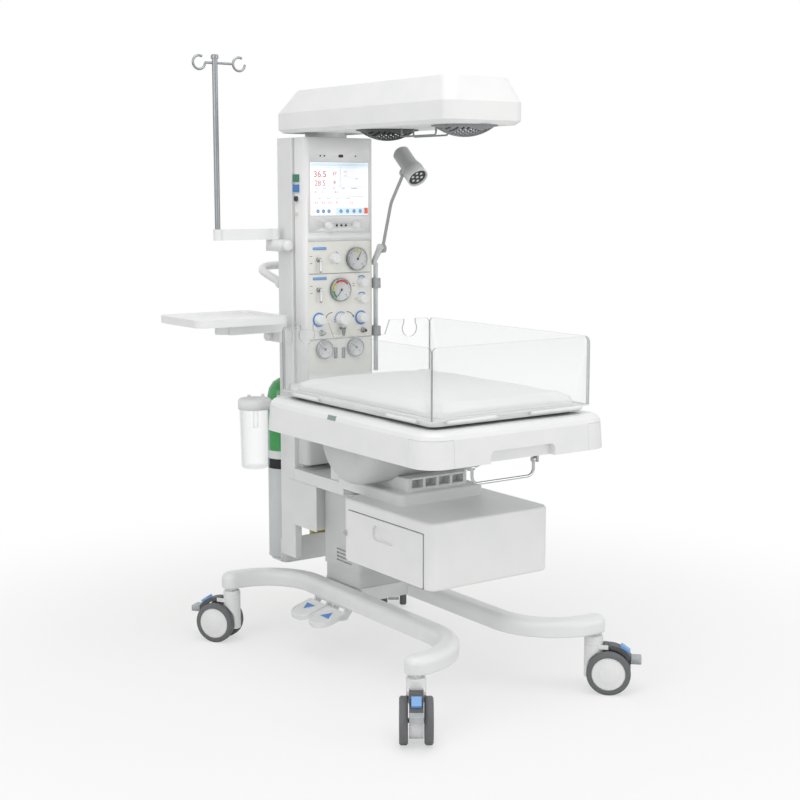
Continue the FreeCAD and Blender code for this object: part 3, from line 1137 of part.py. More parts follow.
def shelf_clamp():
    """Clamp block on the left post with its knob, and the arm that carries the shelf."""
    z0, z1 = SHELF_CLAMP_Z0, SHELF_CLAMP_Z1
    near = -COLUMN_X - FACE_GAP
    body = plate(near - 43, near, POST_FRONT + 2, POST_BACK - 10, z0, z1, 5)
    grip = lathe([(0, 0), (5, 0), (5, 8), (13, 9), (14, 12), (14, 18), (11, 21), (0, 21)])
    grip = moved(turned(grip, V(0, 1, 0), -90), near - 43, POST_BACK - 30, (z0 + z1) / 2)
    bar = block(SHELF_X, near - 20, SHELF_ARM_Y - 17, SHELF_ARM_Y + 17, z1 - 1, SHELF_Z0 - 4)
    boss = Part.makeCylinder(28, SHELF_Z0 - FACE_GAP - z1, V(SHELF_X, SHELF_Y, z1))
    pin = Part.makeCylinder(SHELF_PIN_R, 10, V(SHELF_X, SHELF_Y, SHELF_Z0 - 1))
    return fused(body, grip, bar, boss, pin)


def shelf_tray():
    """Shelf with a raised rim and a sunk top, on a socket under its middle."""
    x0, x1 = SHELF_X - SHELF_W / 2, SHELF_X + SHELF_W / 2
    y0, y1 = SHELF_Y - SHELF_D / 2, SHELF_Y + SHELF_D / 2
    slab = plate(x0, x1, y0, y1, SHELF_Z0, SHELF_Z1, SHELF_R)
    floor = SHELF_Z0 + SHELF_FLOOR + 6
    rim = SHELF_RIM
    sunk = plate(x0 + rim, x1 - rim, y0 + rim, y1 - rim, floor, SHELF_Z1, SHELF_R - rim)
    socket = Part.makeCylinder(SHELF_PIN_R + RUN_GAP, 10, V(SHELF_X, SHELF_Y, SHELF_Z0))
    return cut(slab, sunk, socket)


# All nodes

def place_caster(shape, name):
    side_x, side_y = CASTER_SIDES[name]
    return moved(turned(shape, UP, CASTER_TURNS[name]), side_x * CASTER_X, side_y * CASTER_Y)


def build():
    nodes = {"base_frame": base_frame(), "lift_outer_tube": [lift_outer_tube()]}
    right_leg = leg()
    nodes["base_legs"] = [right_leg, mirrored(right_leg)]
    fork, wheels, brake = caster_fork(), caster_wheels(), caster_brake()
    for name in CASTER_TURNS:
        nodes["caster_fork_" + name] = [place_caster(fork, name)]
        nodes["caster_wheels_" + name] = [place_caster(s, name) for s in wheels]
        nodes["caster_brake_" + name] = [place_caster(s, name) for s in brake]
    for name, y in PEDAL_Y.items():
        nodes["foot_pedal_" + name] = [foot_pedal(y)]
    nodes["lift_sleeve"] = [lift_sleeve()]
    nodes["saddle_frame"] = saddle_frame()
    nodes["storage_cabinet"] = [storage_cabinet()]
    nodes["drawer"] = [drawer()]
    nodes["drawer_lock"] = [drawer_lock()]
    nodes["column_posts"] = column_posts()
    nodes["control_housing"] = control_housing()
    nodes["display_screen"] = [display_screen()]
    nodes["gas_panel"] = [gas_panel()]
    nodes["gauges"] = [gauge(*place) for place in GAUGES]
    nodes["panel_fittings"] = panel_fittings()
    for name, (x, z, radius, length) in KNOBS.items():
        nodes[name] = [knob(x, z, radius, length, PANEL_FACE)]
    for name, (x, z) in DISPLAY_KNOBS.items():
        nodes[name] = [knob(x, z, DISPLAY_KNOB_R, DISPLAY_KNOB_L, MODULE_FRONT)]
    for name, (x, z) in TOGGLES.items():
        nodes[name] = [toggle(x, z)]
    nodes["hood_shell"] = [hood_shell()]
    nodes["hood_tray"] = [hood_tray()]
    nodes["lamp_grilles"] = lamp_grilles()
    nodes["bed_skirt"] = bed_skirt()
    nodes["tilt_bowl"] = [tilt_bowl()]
    nodes["bail"] = [bail()]
    nodes["bed_deck"] = [bed_deck()]
    nodes["mattress"] = [mattress()]
    right_panel = side_panel()
    nodes["panel_right"] = [right_panel]
    nodes["panel_left"] = [mirrored(right_panel)]
    nodes["panel_front"] = [front_panel()]
    nodes["panel_back"] = [back_panel()]
    nodes["push_handle"] = [push_handle()]
    nodes["gas_cylinders"] = gas_cylinders()
    nodes["suction_unit"] = suction_unit()
    nodes["rail_clamps"] = rail_clamps()
    nodes["lamp_arm"] = [lamp_arm()]
    nodes["lamp_head"] = [lamp_head()]
    nodes["iv_arm"] = [iv_arm()]
    nodes["iv_pole"] = [iv_pole()]
    nodes["shelf_clamp"] = [shelf_clamp()]
    nodes["shelf_tray"] = [shelf_tray()]
    return nodes


NODES = build()
WHOLE = FreeCAD.BoundBox()
for pieces in NODES.values():
    for piece in pieces:
        WHOLE.add(piece.optimalBoundingBox(False))
SHIFT = V(-WHOLE.Center.x, -WHOLE.Center.y, -WHOLE.ZMin)

os.makedirs("parts", exist_ok=True)
for node, pieces in NODES.items():
    group = Part.makeCompound([moved(piece, SHIFT.x, SHIFT.y, SHIFT.z) for piece in pieces])
    group.exportStep("parts/" + node + ".step")
print(len(NODES), "nodes, overall", round(WHOLE.XLength), round(WHOLE.YLength), round(WHOLE.ZLength))
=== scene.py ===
# %% [markdown]
# # Infant radiant warmer
# A hospital cot on wheels: a mattress between clear panels, a heater hood over it, and a column that holds
# the controls. The rigid forms come from the CAD frame. Blender adds the finishes, the mattress, the dials,
# the screen and the small printed marks. We load the frame first, because each later piece is placed on it.

# %% Load the frame
import json
import math

import bmesh
import bpy
from mathutils import Matrix, Vector

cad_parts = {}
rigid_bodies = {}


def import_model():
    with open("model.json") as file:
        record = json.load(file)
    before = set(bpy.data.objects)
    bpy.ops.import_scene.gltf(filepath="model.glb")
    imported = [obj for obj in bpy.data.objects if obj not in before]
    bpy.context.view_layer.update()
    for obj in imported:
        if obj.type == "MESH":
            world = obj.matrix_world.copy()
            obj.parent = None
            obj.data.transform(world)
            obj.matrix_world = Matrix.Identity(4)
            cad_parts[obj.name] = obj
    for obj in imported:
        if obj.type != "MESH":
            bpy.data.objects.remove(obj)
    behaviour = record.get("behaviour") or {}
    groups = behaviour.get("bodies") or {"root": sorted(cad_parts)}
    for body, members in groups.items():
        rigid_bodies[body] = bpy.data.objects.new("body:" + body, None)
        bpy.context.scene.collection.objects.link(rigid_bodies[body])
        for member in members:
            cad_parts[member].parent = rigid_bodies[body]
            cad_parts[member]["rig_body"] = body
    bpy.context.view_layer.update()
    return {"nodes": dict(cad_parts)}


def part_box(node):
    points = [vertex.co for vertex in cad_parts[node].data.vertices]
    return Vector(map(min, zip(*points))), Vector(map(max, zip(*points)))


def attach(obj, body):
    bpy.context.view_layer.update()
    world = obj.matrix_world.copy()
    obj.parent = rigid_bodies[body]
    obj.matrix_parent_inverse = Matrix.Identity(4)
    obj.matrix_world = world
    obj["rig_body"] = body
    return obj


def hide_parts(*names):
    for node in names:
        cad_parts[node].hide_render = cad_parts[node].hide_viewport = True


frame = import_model()
nodes = frame["nodes"]
MM = 0.001

# %% [markdown]
# ## Where the machine's middle is
# The frame's origin is the middle of its whole box, shelf and hooks included. The machine itself is built
# around the middle of its column, so it helps to have that point. We measure it from two CAD nodes: the
# column's middle across, and the front face and top of the control housing, whose places are known. All
# later pieces are placed in millimetres from there.

# %% Find the machine's middle
low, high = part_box("column_posts")
mid_x = (low.x + high.x) / 2
low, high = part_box("control_housing")
HOUSING_FRONT, HOUSING_TOP = 325, 1525
shift = Vector((mid_x, low.y - HOUSING_FRONT * MM, high.z - HOUSING_TOP * MM))


def at(x, y, z):
    """A point given in millimetres from the machine's own middle, in the frame."""
    return Vector((x * MM, y * MM, z * MM)) + shift


print("machine middle", [round(v, 4) for v in shift])

# %% [markdown]
# ## Floor, camera and light
# The photograph is a product shot: white floor, white background, broad soft light from above and a soft
# shadow under the wheels. A wide plane is the floor and the world gives an even white. The camera stands
# where the photograph was taken from, worked out from the machine's square corners.

# %% Floor
FLOOR_HALF = 30
floor_mesh = bpy.data.meshes.new("floor")
build = bmesh.new()
bmesh.ops.create_grid(build, x_segments=1, y_segments=1, size=FLOOR_HALF)
build.to_mesh(floor_mesh)
build.free()
floor = bpy.data.objects.new("floor", floor_mesh)
bpy.context.scene.collection.objects.link(floor)


def linear(code):
    """A linear colour with alpha from an sRGB hex code."""
    values = [int(code[i:i + 2], 16) / 255 for i in (1, 3, 5)]
    return [v / 12.92 if v <= 0.04045 else ((v + 0.055) / 1.055) ** 2.4 for v in values] + [1.0]


def add_node(tree, kind, inputs=None, **settings):
    """Add one node, set its options, and set or link its inputs."""
    node = tree.nodes.new(kind)
    for name, value in settings.items():
        setattr(node, name, value)
    for socket, value in (inputs or {}).items():
        if isinstance(value, bpy.types.NodeSocket):
            tree.links.new(value, node.inputs[socket])
        else:
            node.inputs[socket].default_value = value
    return node


def blank_material(name):
    """A material with nothing but its output."""
    made = bpy.data.materials.new(name)
    made.use_nodes = True
    made.node_tree.nodes.clear()
    return made, made.node_tree


# The floor shows its shadow near the wheels and turns into plain white further out, in metres.
SHADOW_REACH, WHITE_REACH = 0.6, 2.2
floor_paint, tree = blank_material("floor_white")
ray = add_node(tree, "ShaderNodeLightPath")
matt = add_node(tree, "ShaderNodeBsdfDiffuse", {"Color": linear("#F4F4F4")})
bright = add_node(tree, "ShaderNodeEmission", {"Color": linear("#FFFFFF"), "Strength": 1.0})
place = add_node(tree, "ShaderNodeTexCoord")
away = add_node(tree, "ShaderNodeVectorMath", {0: place.outputs["Object"]}, operation="LENGTH")
share = add_node(tree, "ShaderNodeMapRange",
                 {"Value": away.outputs["Value"], "From Min": SHADOW_REACH, "From Max": WHITE_REACH,
                  "To Min": 0.55, "To Max": 1.0}, interpolation_type="SMOOTHSTEP")
seen = add_node(tree, "ShaderNodeMath", {0: ray.outputs["Is Camera Ray"], 1: share.outputs[0]},
                operation="MULTIPLY")
mixed = add_node(tree, "ShaderNodeMixShader",
                 {0: seen.outputs[0], 1: matt.outputs[0], 2: bright.outputs[0]})
add_node(tree, "ShaderNodeOutputMaterial", {"Surface": mixed.outputs[0]})
floor.data.materials.append(floor_paint)
print("floor", floor.name)

# %% Camera
CAMERA_PLACE = (-2297.0, -3252.0, 1367.5)
CAMERA_DOWN, CAMERA_TURN = 8.3, 35.1
camera_data = bpy.data.cameras.new("camera")
camera = bpy.data.objects.new("camera", camera_data)
bpy.context.scene.collection.objects.link(camera)
camera.location = at(*CAMERA_PLACE)
camera.rotation_euler = (math.radians(90 - CAMERA_DOWN), 0, math.radians(-CAMERA_TURN))
camera_data.lens = 64.15
camera_data.sensor_width = 36
camera_data.clip_end = 60
bpy.context.scene.camera = camera
print("camera", [round(v, 3) for v in camera.location])

# %% World and lamps
bpy.context.scene.view_settings.view_transform = "Standard"
world = bpy.data.worlds.new("studio")
bpy.context.scene.world = world
world.use_nodes = True
tree = world.node_tree
tree.nodes.clear()
ray = add_node(tree, "ShaderNodeLightPath")
both = add_node(tree, "ShaderNodeMath", {0: ray.outputs["Is Camera Ray"], 1: ray.outputs["Is Glossy Ray"]},
                operation="MAXIMUM")
seen = add_node(tree, "ShaderNodeMath", {0: both.outputs[0], 1: ray.outputs["Is Transmission Ray"]},
                operation="MAXIMUM")
fill = add_node(tree, "ShaderNodeBackground", {"Color": linear("#F5F6F4"), "Strength": 0.58})
shown = add_node(tree, "ShaderNodeBackground", {"Color": linear("#FFFFFF"), "Strength": 1.0})
mixed = add_node(tree, "ShaderNodeMixShader",
                 {0: seen.outputs[0], 1: fill.outputs[0], 2: shown.outputs[0]})
add_node(tree, "ShaderNodeOutputWorld", {"Surface": mixed.outputs[0]})


def lamp(name, place, aim, size, power):
    """A square soft box that points at a spot."""
    data = bpy.data.lights.new(name, "AREA")
    data.shape = "SQUARE"
    data.size = size
    data.energy = power
    made = bpy.data.objects.new(name, data)
    bpy.context.scene.collection.objects.link(made)
    made.location = place
    made.rotation_euler = (Vector(aim) - Vector(place)).to_track_quat("-Z", "Y").to_euler()
    return made


lamp("soft_box_top", (-0.6, -1.2, 4.2), (0, 0, 0.8), 3.2, 62)
lamp("soft_box_left", (-4.0, -1.2, 2.4), (0, 0, 0.9), 2.6, 33)
lamp("soft_box_front", (2.2, -4.0, 1.8), (0, 0, 0.9), 2.4, 33)

# %% [markdown]
# ## Finishes
# Nearly everything here is white, so the finishes differ in small ways: powder-coated steel has a fine
# orange peel, moulded ABS a faint grain and a satin gloss, and rubber is matt and a little dusty. Each
# material mixes two close colours with a large soft noise, so a big panel isn't dead flat, and bumps its
# surface with a fine noise whose scale comes from the real grain in millimetres.

# %% Surface recipe
def surface(name, colour, shade, roughness, grain_mm, depth_mm, metallic=0.0, coat=0.0):
    """A moulded, painted or cast finish on Object coordinates: two close colours, grain and gloss."""
    made, tree = blank_material(name)
    place = add_node(tree, "ShaderNodeTexCoord")
    patch = add_node(tree, "ShaderNodeTexNoise",
                     {"Vector": place.outputs["Object"], "Scale": 9.0, "Detail": 3.0})
    ramp = add_node(tree, "ShaderNodeValToRGB", {"Fac": patch.outputs[0]})
    ramp.color_ramp.elements[0].position = 0.35
    ramp.color_ramp.elements[1].position = 0.65
    ramp.color_ramp.elements[0].color = linear(shade)
    ramp.color_ramp.elements[1].color = linear(colour)
    grain = add_node(tree, "ShaderNodeTexNoise",
                     {"Vector": place.outputs["Object"], "Scale": 1 / (grain_mm * MM), "Detail": 2.0})
    bump = add_node(tree, "ShaderNodeBump",
                    {"Height": grain.outputs[0], "Distance": depth_mm * MM, "Strength": 1.0})
    gloss = add_node(tree, "ShaderNodeMapRange",
                     {"Value": patch.outputs[0], "To Min": roughness - 0.04, "To Max": roughness + 0.05})
    body = add_node(tree, "ShaderNodeBsdfPrincipled",
                    {"Base Color": ramp.outputs[0], "Roughness": gloss.outputs[0],
                     "Normal": bump.outputs[0], "Metallic": metallic, "Coat Weight": coat})
    add_node(tree, "ShaderNodeOutputMaterial", {"Surface": body.outputs[0]})
    return made


print("surface recipe ready")

# %% The finishes
# Moulded ABS housings: satin, a very fine spark-eroded grain.
abs_white = surface("abs_moulded_white", "#EFEFEF", "#EBECEC", 0.38, 1.2, 0.015)
# Powder-coated steel legs and column: slightly glossier, with a soft orange peel of some 3 mm.
steel_white = surface("powder_coat_white", "#ECEDED", "#E8E9EA", 0.34, 3.0, 0.03, coat=0.15)
# Column extrusions: the same powder coat, a touch greyer, so the column stands off the white housings.
column_grey = surface("powder_coat_light_grey", "#E9EAEA", "#E4E5E5", 0.40, 2.5, 0.03)
# Lift tube and the parts in the shade of the bed: grey powder coat, its darkness partly painted shade of
# the bed.
grey_coat_and_painted_shade = surface("powder_coat_grey_and_painted_shade", "#D0D2D2", "#CACCCC", 0.42, 2.5, 0.03)
# Glass-filled nylon of the caster forks, brake treads, pedals and clamps: matt, with a fine grain.
nylon_white = surface("nylon_white", "#EFEFEF", "#E9EAEA", 0.45, 1.0, 0.03)
nylon_grey = surface("nylon_light_grey", "#B9BDC0", "#B1B5B8", 0.5, 1.0, 0.03)
# Thermoplastic rubber tread: matt, a little dusty.
tyre_grey = surface("tyre_rubber_grey", "#6E7072", "#66686A", 0.7, 1.5, 0.05)
# Acetal tabs and ABS gas sockets: the few strong colours, which lead the eye to what is handled.
tab_blue = surface("acetal_blue", "#7FB0E6", "#78A9E0", 0.4, 1.0, 0.01)
socket_blue = surface("abs_socket_blue", "#3F7CC4", "#3A76BC", 0.35, 1.0, 0.01)
socket_green = surface("abs_socket_green", "#2F7D63", "#2B765D", 0.35, 1.0, 0.01)
# Gas panel: screen-printed sheet in warm pale grey.
panel_cream = surface("printed_panel_warm_white", "#F0EFE9", "#ECEBE5", 0.42, 1.5, 0.01)
# Chromed brass mirrors the room, and stainless bar scatters it, so the hooks look softer than the toggles.
chrome = surface("chrome_plate", "#C9CBCD", "#C2C4C6", 0.14, 4.0, 0.002, metallic=1.0)
satin_steel = surface("stainless_satin", "#9DA0A2", "#95989A", 0.34, 1.2, 0.004, metallic=1.0)
# Die-cast and painted lamp parts, from the pale rim down to the near-black lens.
lamp_grey = surface("die_cast_paint_grey", "#DCDEDF", "#D5D7D9", 0.42, 1.5, 0.02)
head_grey = surface("die_cast_paint_mid_grey", "#A8ABAA", "#A1A4A3", 0.42, 1.5, 0.02)
rod_grey = surface("rod_paint_mid_grey", "#A9ABAD", "#A1A3A5", 0.4, 1.5, 0.02)
# Gauge bezels: polished metal, darker than the card inside, so each dial has a clear ring.
bezel_grey = surface("gauge_bezel_grey", "#A3A6A8", "#9A9D9F", 0.26, 2.0, 0.01, metallic=0.7)
# Brake arches and dark fittings: dull nylon and ABS.
# The dark nylon grey also stands for painted shade in the groove under the bed deck.
arch_grey_and_groove_shade = surface("nylon_dark_grey_and_groove_shade", "#5A5D60", "#535659", 0.5, 1.0, 0.03)
# The dark ABS grey is also painted shade on the back lamp guard.
dark_abs_and_painted_shade = surface("abs_dark_grey_and_painted_shade", "#3B3D3F", "#353739", 0.45, 1.2, 0.02)
# Guards under the heater lamps: painted sheet, in the shade of the hood.
guard_grey = surface("wire_guard_grey", "#8B8E90", "#808385", 0.42, 1.2, 0.02)
# Gas bottles: gloss paint over steel.
bottle_green = surface("gloss_paint_green", "#3FA85B", "#3A9E55", 0.25, 4.0, 0.02, coat=0.4)
bottle_yellow = surface("gloss_paint_yellow", "#E3C83A", "#DCC033", 0.28, 4.0, 0.02, coat=0.4)
bottle_grey = surface("gloss_paint_silver", "#D3D6D8", "#CCCFD1", 0.3, 4.0, 0.02, coat=0.3)
# Woven straps round the bottles: rough and nearly black.
strap_black = surface("strap_webbing_black", "#2A2B2D", "#232426", 0.8, 1.5, 0.15)
print("finishes", len(bpy.data.materials))

# %% [markdown]
# ## Clear plastics
# Real clear acrylic is nearly invisible seen straight on, shows a soft sky reflection at a slant, and has
# polished borders that look grey. Solid refracting glass is slow and noisy, so the sheets are a glossy
# surface whose cover grows with the viewing slant, and the narrow edge faces get a denser material.

# %% Clear materials
def clear(name, tint, least, most):
    """Thin clear plastic: alpha rises as the sheet turns edge-on."""
    made, tree = blank_material(name)
    slant = add_node(tree, "ShaderNodeLayerWeight", {"Blend": 0.28})
    cover = add_node(tree, "ShaderNodeMapRange",
                     {"Value": slant.outputs["Facing"], "To Min": least, "To Max": most})
    body = add_node(tree, "ShaderNodeBsdfPrincipled",
                    {"Base Color": linear(tint), "Roughness": 0.04, "Alpha": cover.outputs[0],
                     "IOR": 1.49, "Specular IOR Level": 0.6})
    add_node(tree, "ShaderNodeOutputMaterial", {"Surface": body.outputs[0]})
    return made


acrylic = clear("acrylic_clear", "#EEF2F4", 0.02, 0.26)
acrylic_edge = clear("acrylic_polished_edge", "#87908F", 0.5, 0.8)
jar_clear = clear("polycarbonate_clear", "#DDE4E7", 0.03, 0.4)
print("clear", acrylic.name, acrylic_edge.name, jar_clear.name)

# %% [markdown]
# ## Dressing the CAD pieces
# A CAD node keeps its mesh and just gets a finish. A node whose solids differ in material, such as a tyre
# on its hub, is copied instead: the copy is merged, each loose solid is found by its own box, and a rule
# says which finish it takes. The copy then stands for the node.

# %% Finish whole nodes
WHOLE_NODES = {
    "base_legs": steel_white, "base_frame": column_grey, "lift_outer_tube": grey_coat_and_painted_shade,
    "lift_sleeve": grey_coat_and_painted_shade, "saddle_frame": steel_white, "storage_cabinet": abs_white,
    "drawer": abs_white, "drawer_lock": chrome, "column_posts": column_grey, "gas_panel": panel_cream,
    "push_handle": steel_white, "hood_shell": abs_white, "hood_tray": abs_white,
    "bed_skirt": abs_white, "tilt_bowl": grey_coat_and_painted_shade, "bail": chrome, "iv_arm": steel_white,
    "iv_pole": satin_steel, "shelf_clamp": steel_white, "shelf_tray": abs_white, "lamp_arm": rod_grey,
    "foot_pedal_down": nylon_white, "foot_pedal_up": nylon_white,
    "display_screen": column_grey, "toggle_upper": chrome, "toggle_lower": chrome,
}
for name in nodes:
    if name.startswith("caster_fork"):
        WHOLE_NODES[name] = nylon_white
    if name.startswith("knob"):
        WHOLE_NODES[name] = abs_white
for name, finish in WHOLE_NODES.items():
    nodes[name].data.materials.clear()
    nodes[name].data.materials.append(finish)
print("dressed whole", len(WHOLE_NODES))

# %% Find the loose solids
def islands(build):
    """The loose pieces of a bmesh, each as a list of faces."""
    left = set(build.faces)
    groups = []
    while left:
        group, queue = [], [left.pop()]
        while queue:
            face = queue.pop()
            group.append(face)
            for edge in face.edges:
                for other in edge.link_faces:
                    if other in left:
                        left.remove(other)
                        queue.append(other)
        groups.append(group)
    return groups


def box_of(faces):
    """Lowest and highest corner of some faces, in millimetres from the machine's middle."""
    points = [(v.co - shift) / MM for f in faces for v in f.verts]
    return (Vector([min(p[i] for p in points) for i in range(3)]),
            Vector([max(p[i] for p in points) for i in range(3)]))


print("solid finders ready")

# %% Dress a node solid by solid
SMOOTH_ANGLE = 40


def dress(node, finishes, choose, borders=()):
    """A copy of a CAD node whose solids take the finish that a rule picks from their box."""
    build = bmesh.new()
    build.from_mesh(nodes[node].data)
    bmesh.ops.remove_doubles(build, verts=build.verts, dist=1e-5)
    for z in borders:
        everything = build.verts[:] + build.edges[:] + build.faces[:]
        bmesh.ops.bisect_plane(build, geom=everything, dist=1e-6, plane_co=at(0, 0, z),
                               plane_no=(0, 0, 1))
    for group in islands(build):
        lowest, highest = box_of(group)
        pick = choose(lowest, highest)
        for face in group:
            face.material_index = pick(face) if callable(pick) else pick
            face.smooth = True
    mesh = bpy.data.meshes.new(node + "_dressed")
    build.to_mesh(mesh)
    build.free()
    piece = bpy.data.objects.new(node + "_dressed", mesh)
    bpy.context.scene.collection.objects.link(piece)
    for finish in finishes:
        mesh.materials.append(finish)
    mesh.set_sharp_from_angle(angle=math.radians(SMOOTH_ANGLE))
    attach(piece, nodes[node]["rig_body"])
    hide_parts(node)
    return piece


def middle_mm(face):
    """The middle of a face, in millimetres from the machine's middle."""
    return (face.calc_center_median() - shift) / MM


print("dressing ready")

# %% [markdown]
# ## Casters
# A hospital caster has soft grey tyres on white nylon hubs. Between the wheels sits a dark brake arch, with
# a pale tread for the foot and a blue tab that releases it. Tyres and hubs are solids of their own, so
# their boxes tell them apart. The tread is part of the arch's solid, so we split that one by how far each
# face lies from the axle.

# %% Casters
HUB_TOP = 127
TAB_SPAN = 70
ARCH_OUTSIDE = 76


def brake_finish(axle):
    """Rule for one caster: the small solid is the tab, and the tread lies beyond the arch."""
    def pick(lo, hi):
        if (hi - lo).length < TAB_SPAN:
            return 1
        return lambda face: 2 if (middle_mm(face) - axle).length > ARCH_OUTSIDE else 0
    return pick


for name in list(nodes):
    if name.startswith("caster_wheels"):
        dress(name, [tyre_grey, nylon_white], lambda lo, hi: 0 if hi.z > HUB_TOP else 1)
    if name.startswith("caster_brake"):
        low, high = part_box(name.replace("brake", "wheels"))
        dress(name, [arch_grey_and_groove_shade, tab_blue, nylon_grey], brake_finish(((low + high) / 2 - shift) / MM))

# %% [markdown]
# ## Gas bottles
# Two painted steel bottles stand behind the column. From below, the left one is silver, dark where it is
# strapped, ringed in white and then green. The right one is yellow down to its foot. A colour border in
# the middle of a long face can't be shown by face materials, so we first cut the mesh level at each
# border, and then colour the faces by their height.

# %% Gas bottles
STRAP_LOW, STRAP_HIGH, GREEN_LOW, YELLOW_LOW = 519, 550, 575, 268
SHORTEST_BOTTLE, UPPER_STRAPS_LOW = 100, 600


def bottle_finish(lo, hi):
    """Rule for the bottles, their straps and the tray under them."""
    if hi.z - lo.z < SHORTEST_BOTTLE:
        return 4 if lo.z > UPPER_STRAPS_LOW else 0
    left = lo.x < 0

    def pick(face):
        z = middle_mm(face).z
        if left:
            return 1 if z > GREEN_LOW else (0 if z > STRAP_HIGH else (4 if z > STRAP_LOW else 3))
        return 2 if z > YELLOW_LOW else 3
    return pick


dress("gas_cylinders", [steel_white, bottle_green, bottle_yellow, bottle_grey, strap_black], bottle_finish,
      borders=(YELLOW_LOW, STRAP_LOW, STRAP_HIGH, GREEN_LOW))
print("bottles dressed")

# %% [markdown]
# ## Column, lamps and fittings
# Here solids of different stuff share a node: a clear jar and its white lid, a clamp and the post that it
# holds, a lamp guard and its rods, a dial card and its bezel. Each rule below looks at a solid's box, and
# at its faces too where one solid takes two finishes.

# %% Column and lamp parts
COLUMN_LEFT = -119
JAR_TOP, BRACKET_LEFT = 726, -125
ELBOW_LOW = 1150
dress("control_housing", [abs_white, dark_abs_and_painted_shade], lambda lo, hi: 1 if hi.x < COLUMN_LEFT else 0)
dress("suction_unit", [jar_clear, nylon_white, steel_white],
      lambda lo, hi: 0 if hi.z < JAR_TOP else (2 if hi.x > BRACKET_LEFT else 1))
dress("rail_clamps", [nylon_white, lamp_grey, rod_grey],
      lambda lo, hi: 0 if lo.x < 0 else (1 if hi.z > ELBOW_LOW else 2))
# The front guard catches the light; the back one, in shade, takes the dark ABS grey as painted shade. The
# thin solids are the rods between them.
dress("lamp_grilles", [guard_grey, dark_abs_and_painted_shade, satin_steel],
      lambda lo, hi: 2 if hi.x - lo.x < 10 else (0 if lo.y < -200 else 1))
dial_grey = surface("dial_card_grey", "#DDDEE0", "#D7D8DA", 0.55, 2.0, 0.005)
dress("gauges", [bezel_grey, dial_grey], lambda lo, hi: (
    lambda f: 1 if f.normal.y < -0.99 and middle_mm(f).y > lo.y + 1.5 else 0))
LAMP_RIM = Vector((134, 117, 1407))
LAMP_AIM = Vector((0, -88, -76)).normalized()
LAMP_RIM_LONG, LAMP_JOINT_LOW = 16, 1440
dress("lamp_head", [head_grey, lamp_grey], lambda lo, hi: (
    lambda f: 1 if (middle_mm(f) - LAMP_RIM).dot(LAMP_AIM) > -LAMP_RIM_LONG
    and middle_mm(f).z < LAMP_JOINT_LOW else 0))
print("column and lamp parts dressed")

# %% Panel fittings, clear panels and deck
SIDE_SOCKETS_LOW, GREEN_SOCKET_LOW, SOCKET_TALL = 1290, 1390, 20
SMALL_MARKS_LOW = 1240
PANEL_RAIL_TOP = 812
GROOVE_SHADE_TOP = 795


def fitting_finish(lo, hi):
    """Rule for the column's small parts: side sockets, blue bars, knob rings, dark marks and the rest."""
    if hi.x < COLUMN_LEFT and lo.z > SIDE_SOCKETS_LOW:
        return (3 if lo.z > GREEN_SOCKET_LOW else 4) if hi.z - lo.z > SOCKET_TALL else 5
    if 1190 < lo.z < 1210 or 1105 < lo.z < 1125:
        return 1
    if 960 < lo.z < 980 and hi.y - lo.y < 1.5:
        return 5 if abs(lo.x + hi.x) < 10 else 1
    return 2 if lo.z > SMALL_MARKS_LOW else 0


dress("panel_fittings", [bezel_grey, tab_blue, dark_abs_and_painted_shade, socket_green, socket_blue, panel_cream],
      fitting_finish)
for name in ("panel_left", "panel_right", "panel_front", "panel_back"):
    thin = 0 if name in ("panel_left", "panel_right") else 1
    dress(name, [acrylic, acrylic_edge, abs_white], borders=(PANEL_RAIL_TOP,), choose=lambda lo, hi: (
        lambda f: 2 if middle_mm(f).z < PANEL_RAIL_TOP else (0 if abs(f.normal[thin]) > 0.9 else 1)))
# Below the groove's top the deck takes the dark nylon grey: painted shade in the groove between deck and
# skirt.
dress("bed_deck", [abs_white, arch_grey_and_groove_shade], borders=(GROOVE_SHADE_TOP,), choose=lambda lo, hi: (
    lambda f: 1 if middle_mm(f).z < GROOVE_SHADE_TOP else 0))

# %% [markdown]
# ## Mattress
# A foam pad in a soft white cover, lying on the deck between the panels. Its cover is a little loose, so
# the top is slightly crowned. We start from the CAD pad, give it an even mesh of small squares, and let
# Blender's cloth swell it under pressure. Then we cap how far each point has moved, so the pad keeps clear
# of the panels, and keep its underside flat, because it lies on a board.

# %% A piece of one finish
def new_piece(name, build, finish, body):
    """Turn a bmesh into a finished object that rides on a body."""
    mesh = bpy.data.meshes.new(name)
    build.to_mesh(mesh)
    build.free()
    piece = bpy.data.objects.new(name, mesh)
    bpy.context.scene.collection.objects.link(piece)
    mesh.materials.append(finish)
    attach(piece, body)
    return piece


print("piece maker ready")

# %% Cover cloth
# Polyurethane-coated fabric: a soft sheen, a fine weave and shallow creases. A wave texture repeats every
# 0.314 m divided by its scale, so this weave of 4 mm is coarser than the real one, and just shows.
WEAVE_SCALE = 80.0
cover_cloth, tree = blank_material("coated_fabric_white")
place = add_node(tree, "ShaderNodeTexCoord")
weave_a = add_node(tree, "ShaderNodeTexWave",
                   {"Vector": place.outputs["Object"], "Scale": WEAVE_SCALE, "Distortion": 0.4},
                   bands_direction="X")
weave_b = add_node(tree, "ShaderNodeTexWave",
                   {"Vector": place.outputs["Object"], "Scale": WEAVE_SCALE, "Distortion": 0.4},
                   bands_direction="Y")
weave = add_node(tree, "ShaderNodeMath", {0: weave_a.outputs[1], 1: weave_b.outputs[1]},
                 operation="MULTIPLY")
crease = add_node(tree, "ShaderNodeTexNoise",
                  {"Vector": place.outputs["Object"], "Scale": 14.0, "Detail": 4.0})
height = add_node(tree, "ShaderNodeMath", {0: crease.outputs[0], 1: 6.0, 2: weave.outputs[0]},
                  operation="MULTIPLY_ADD")
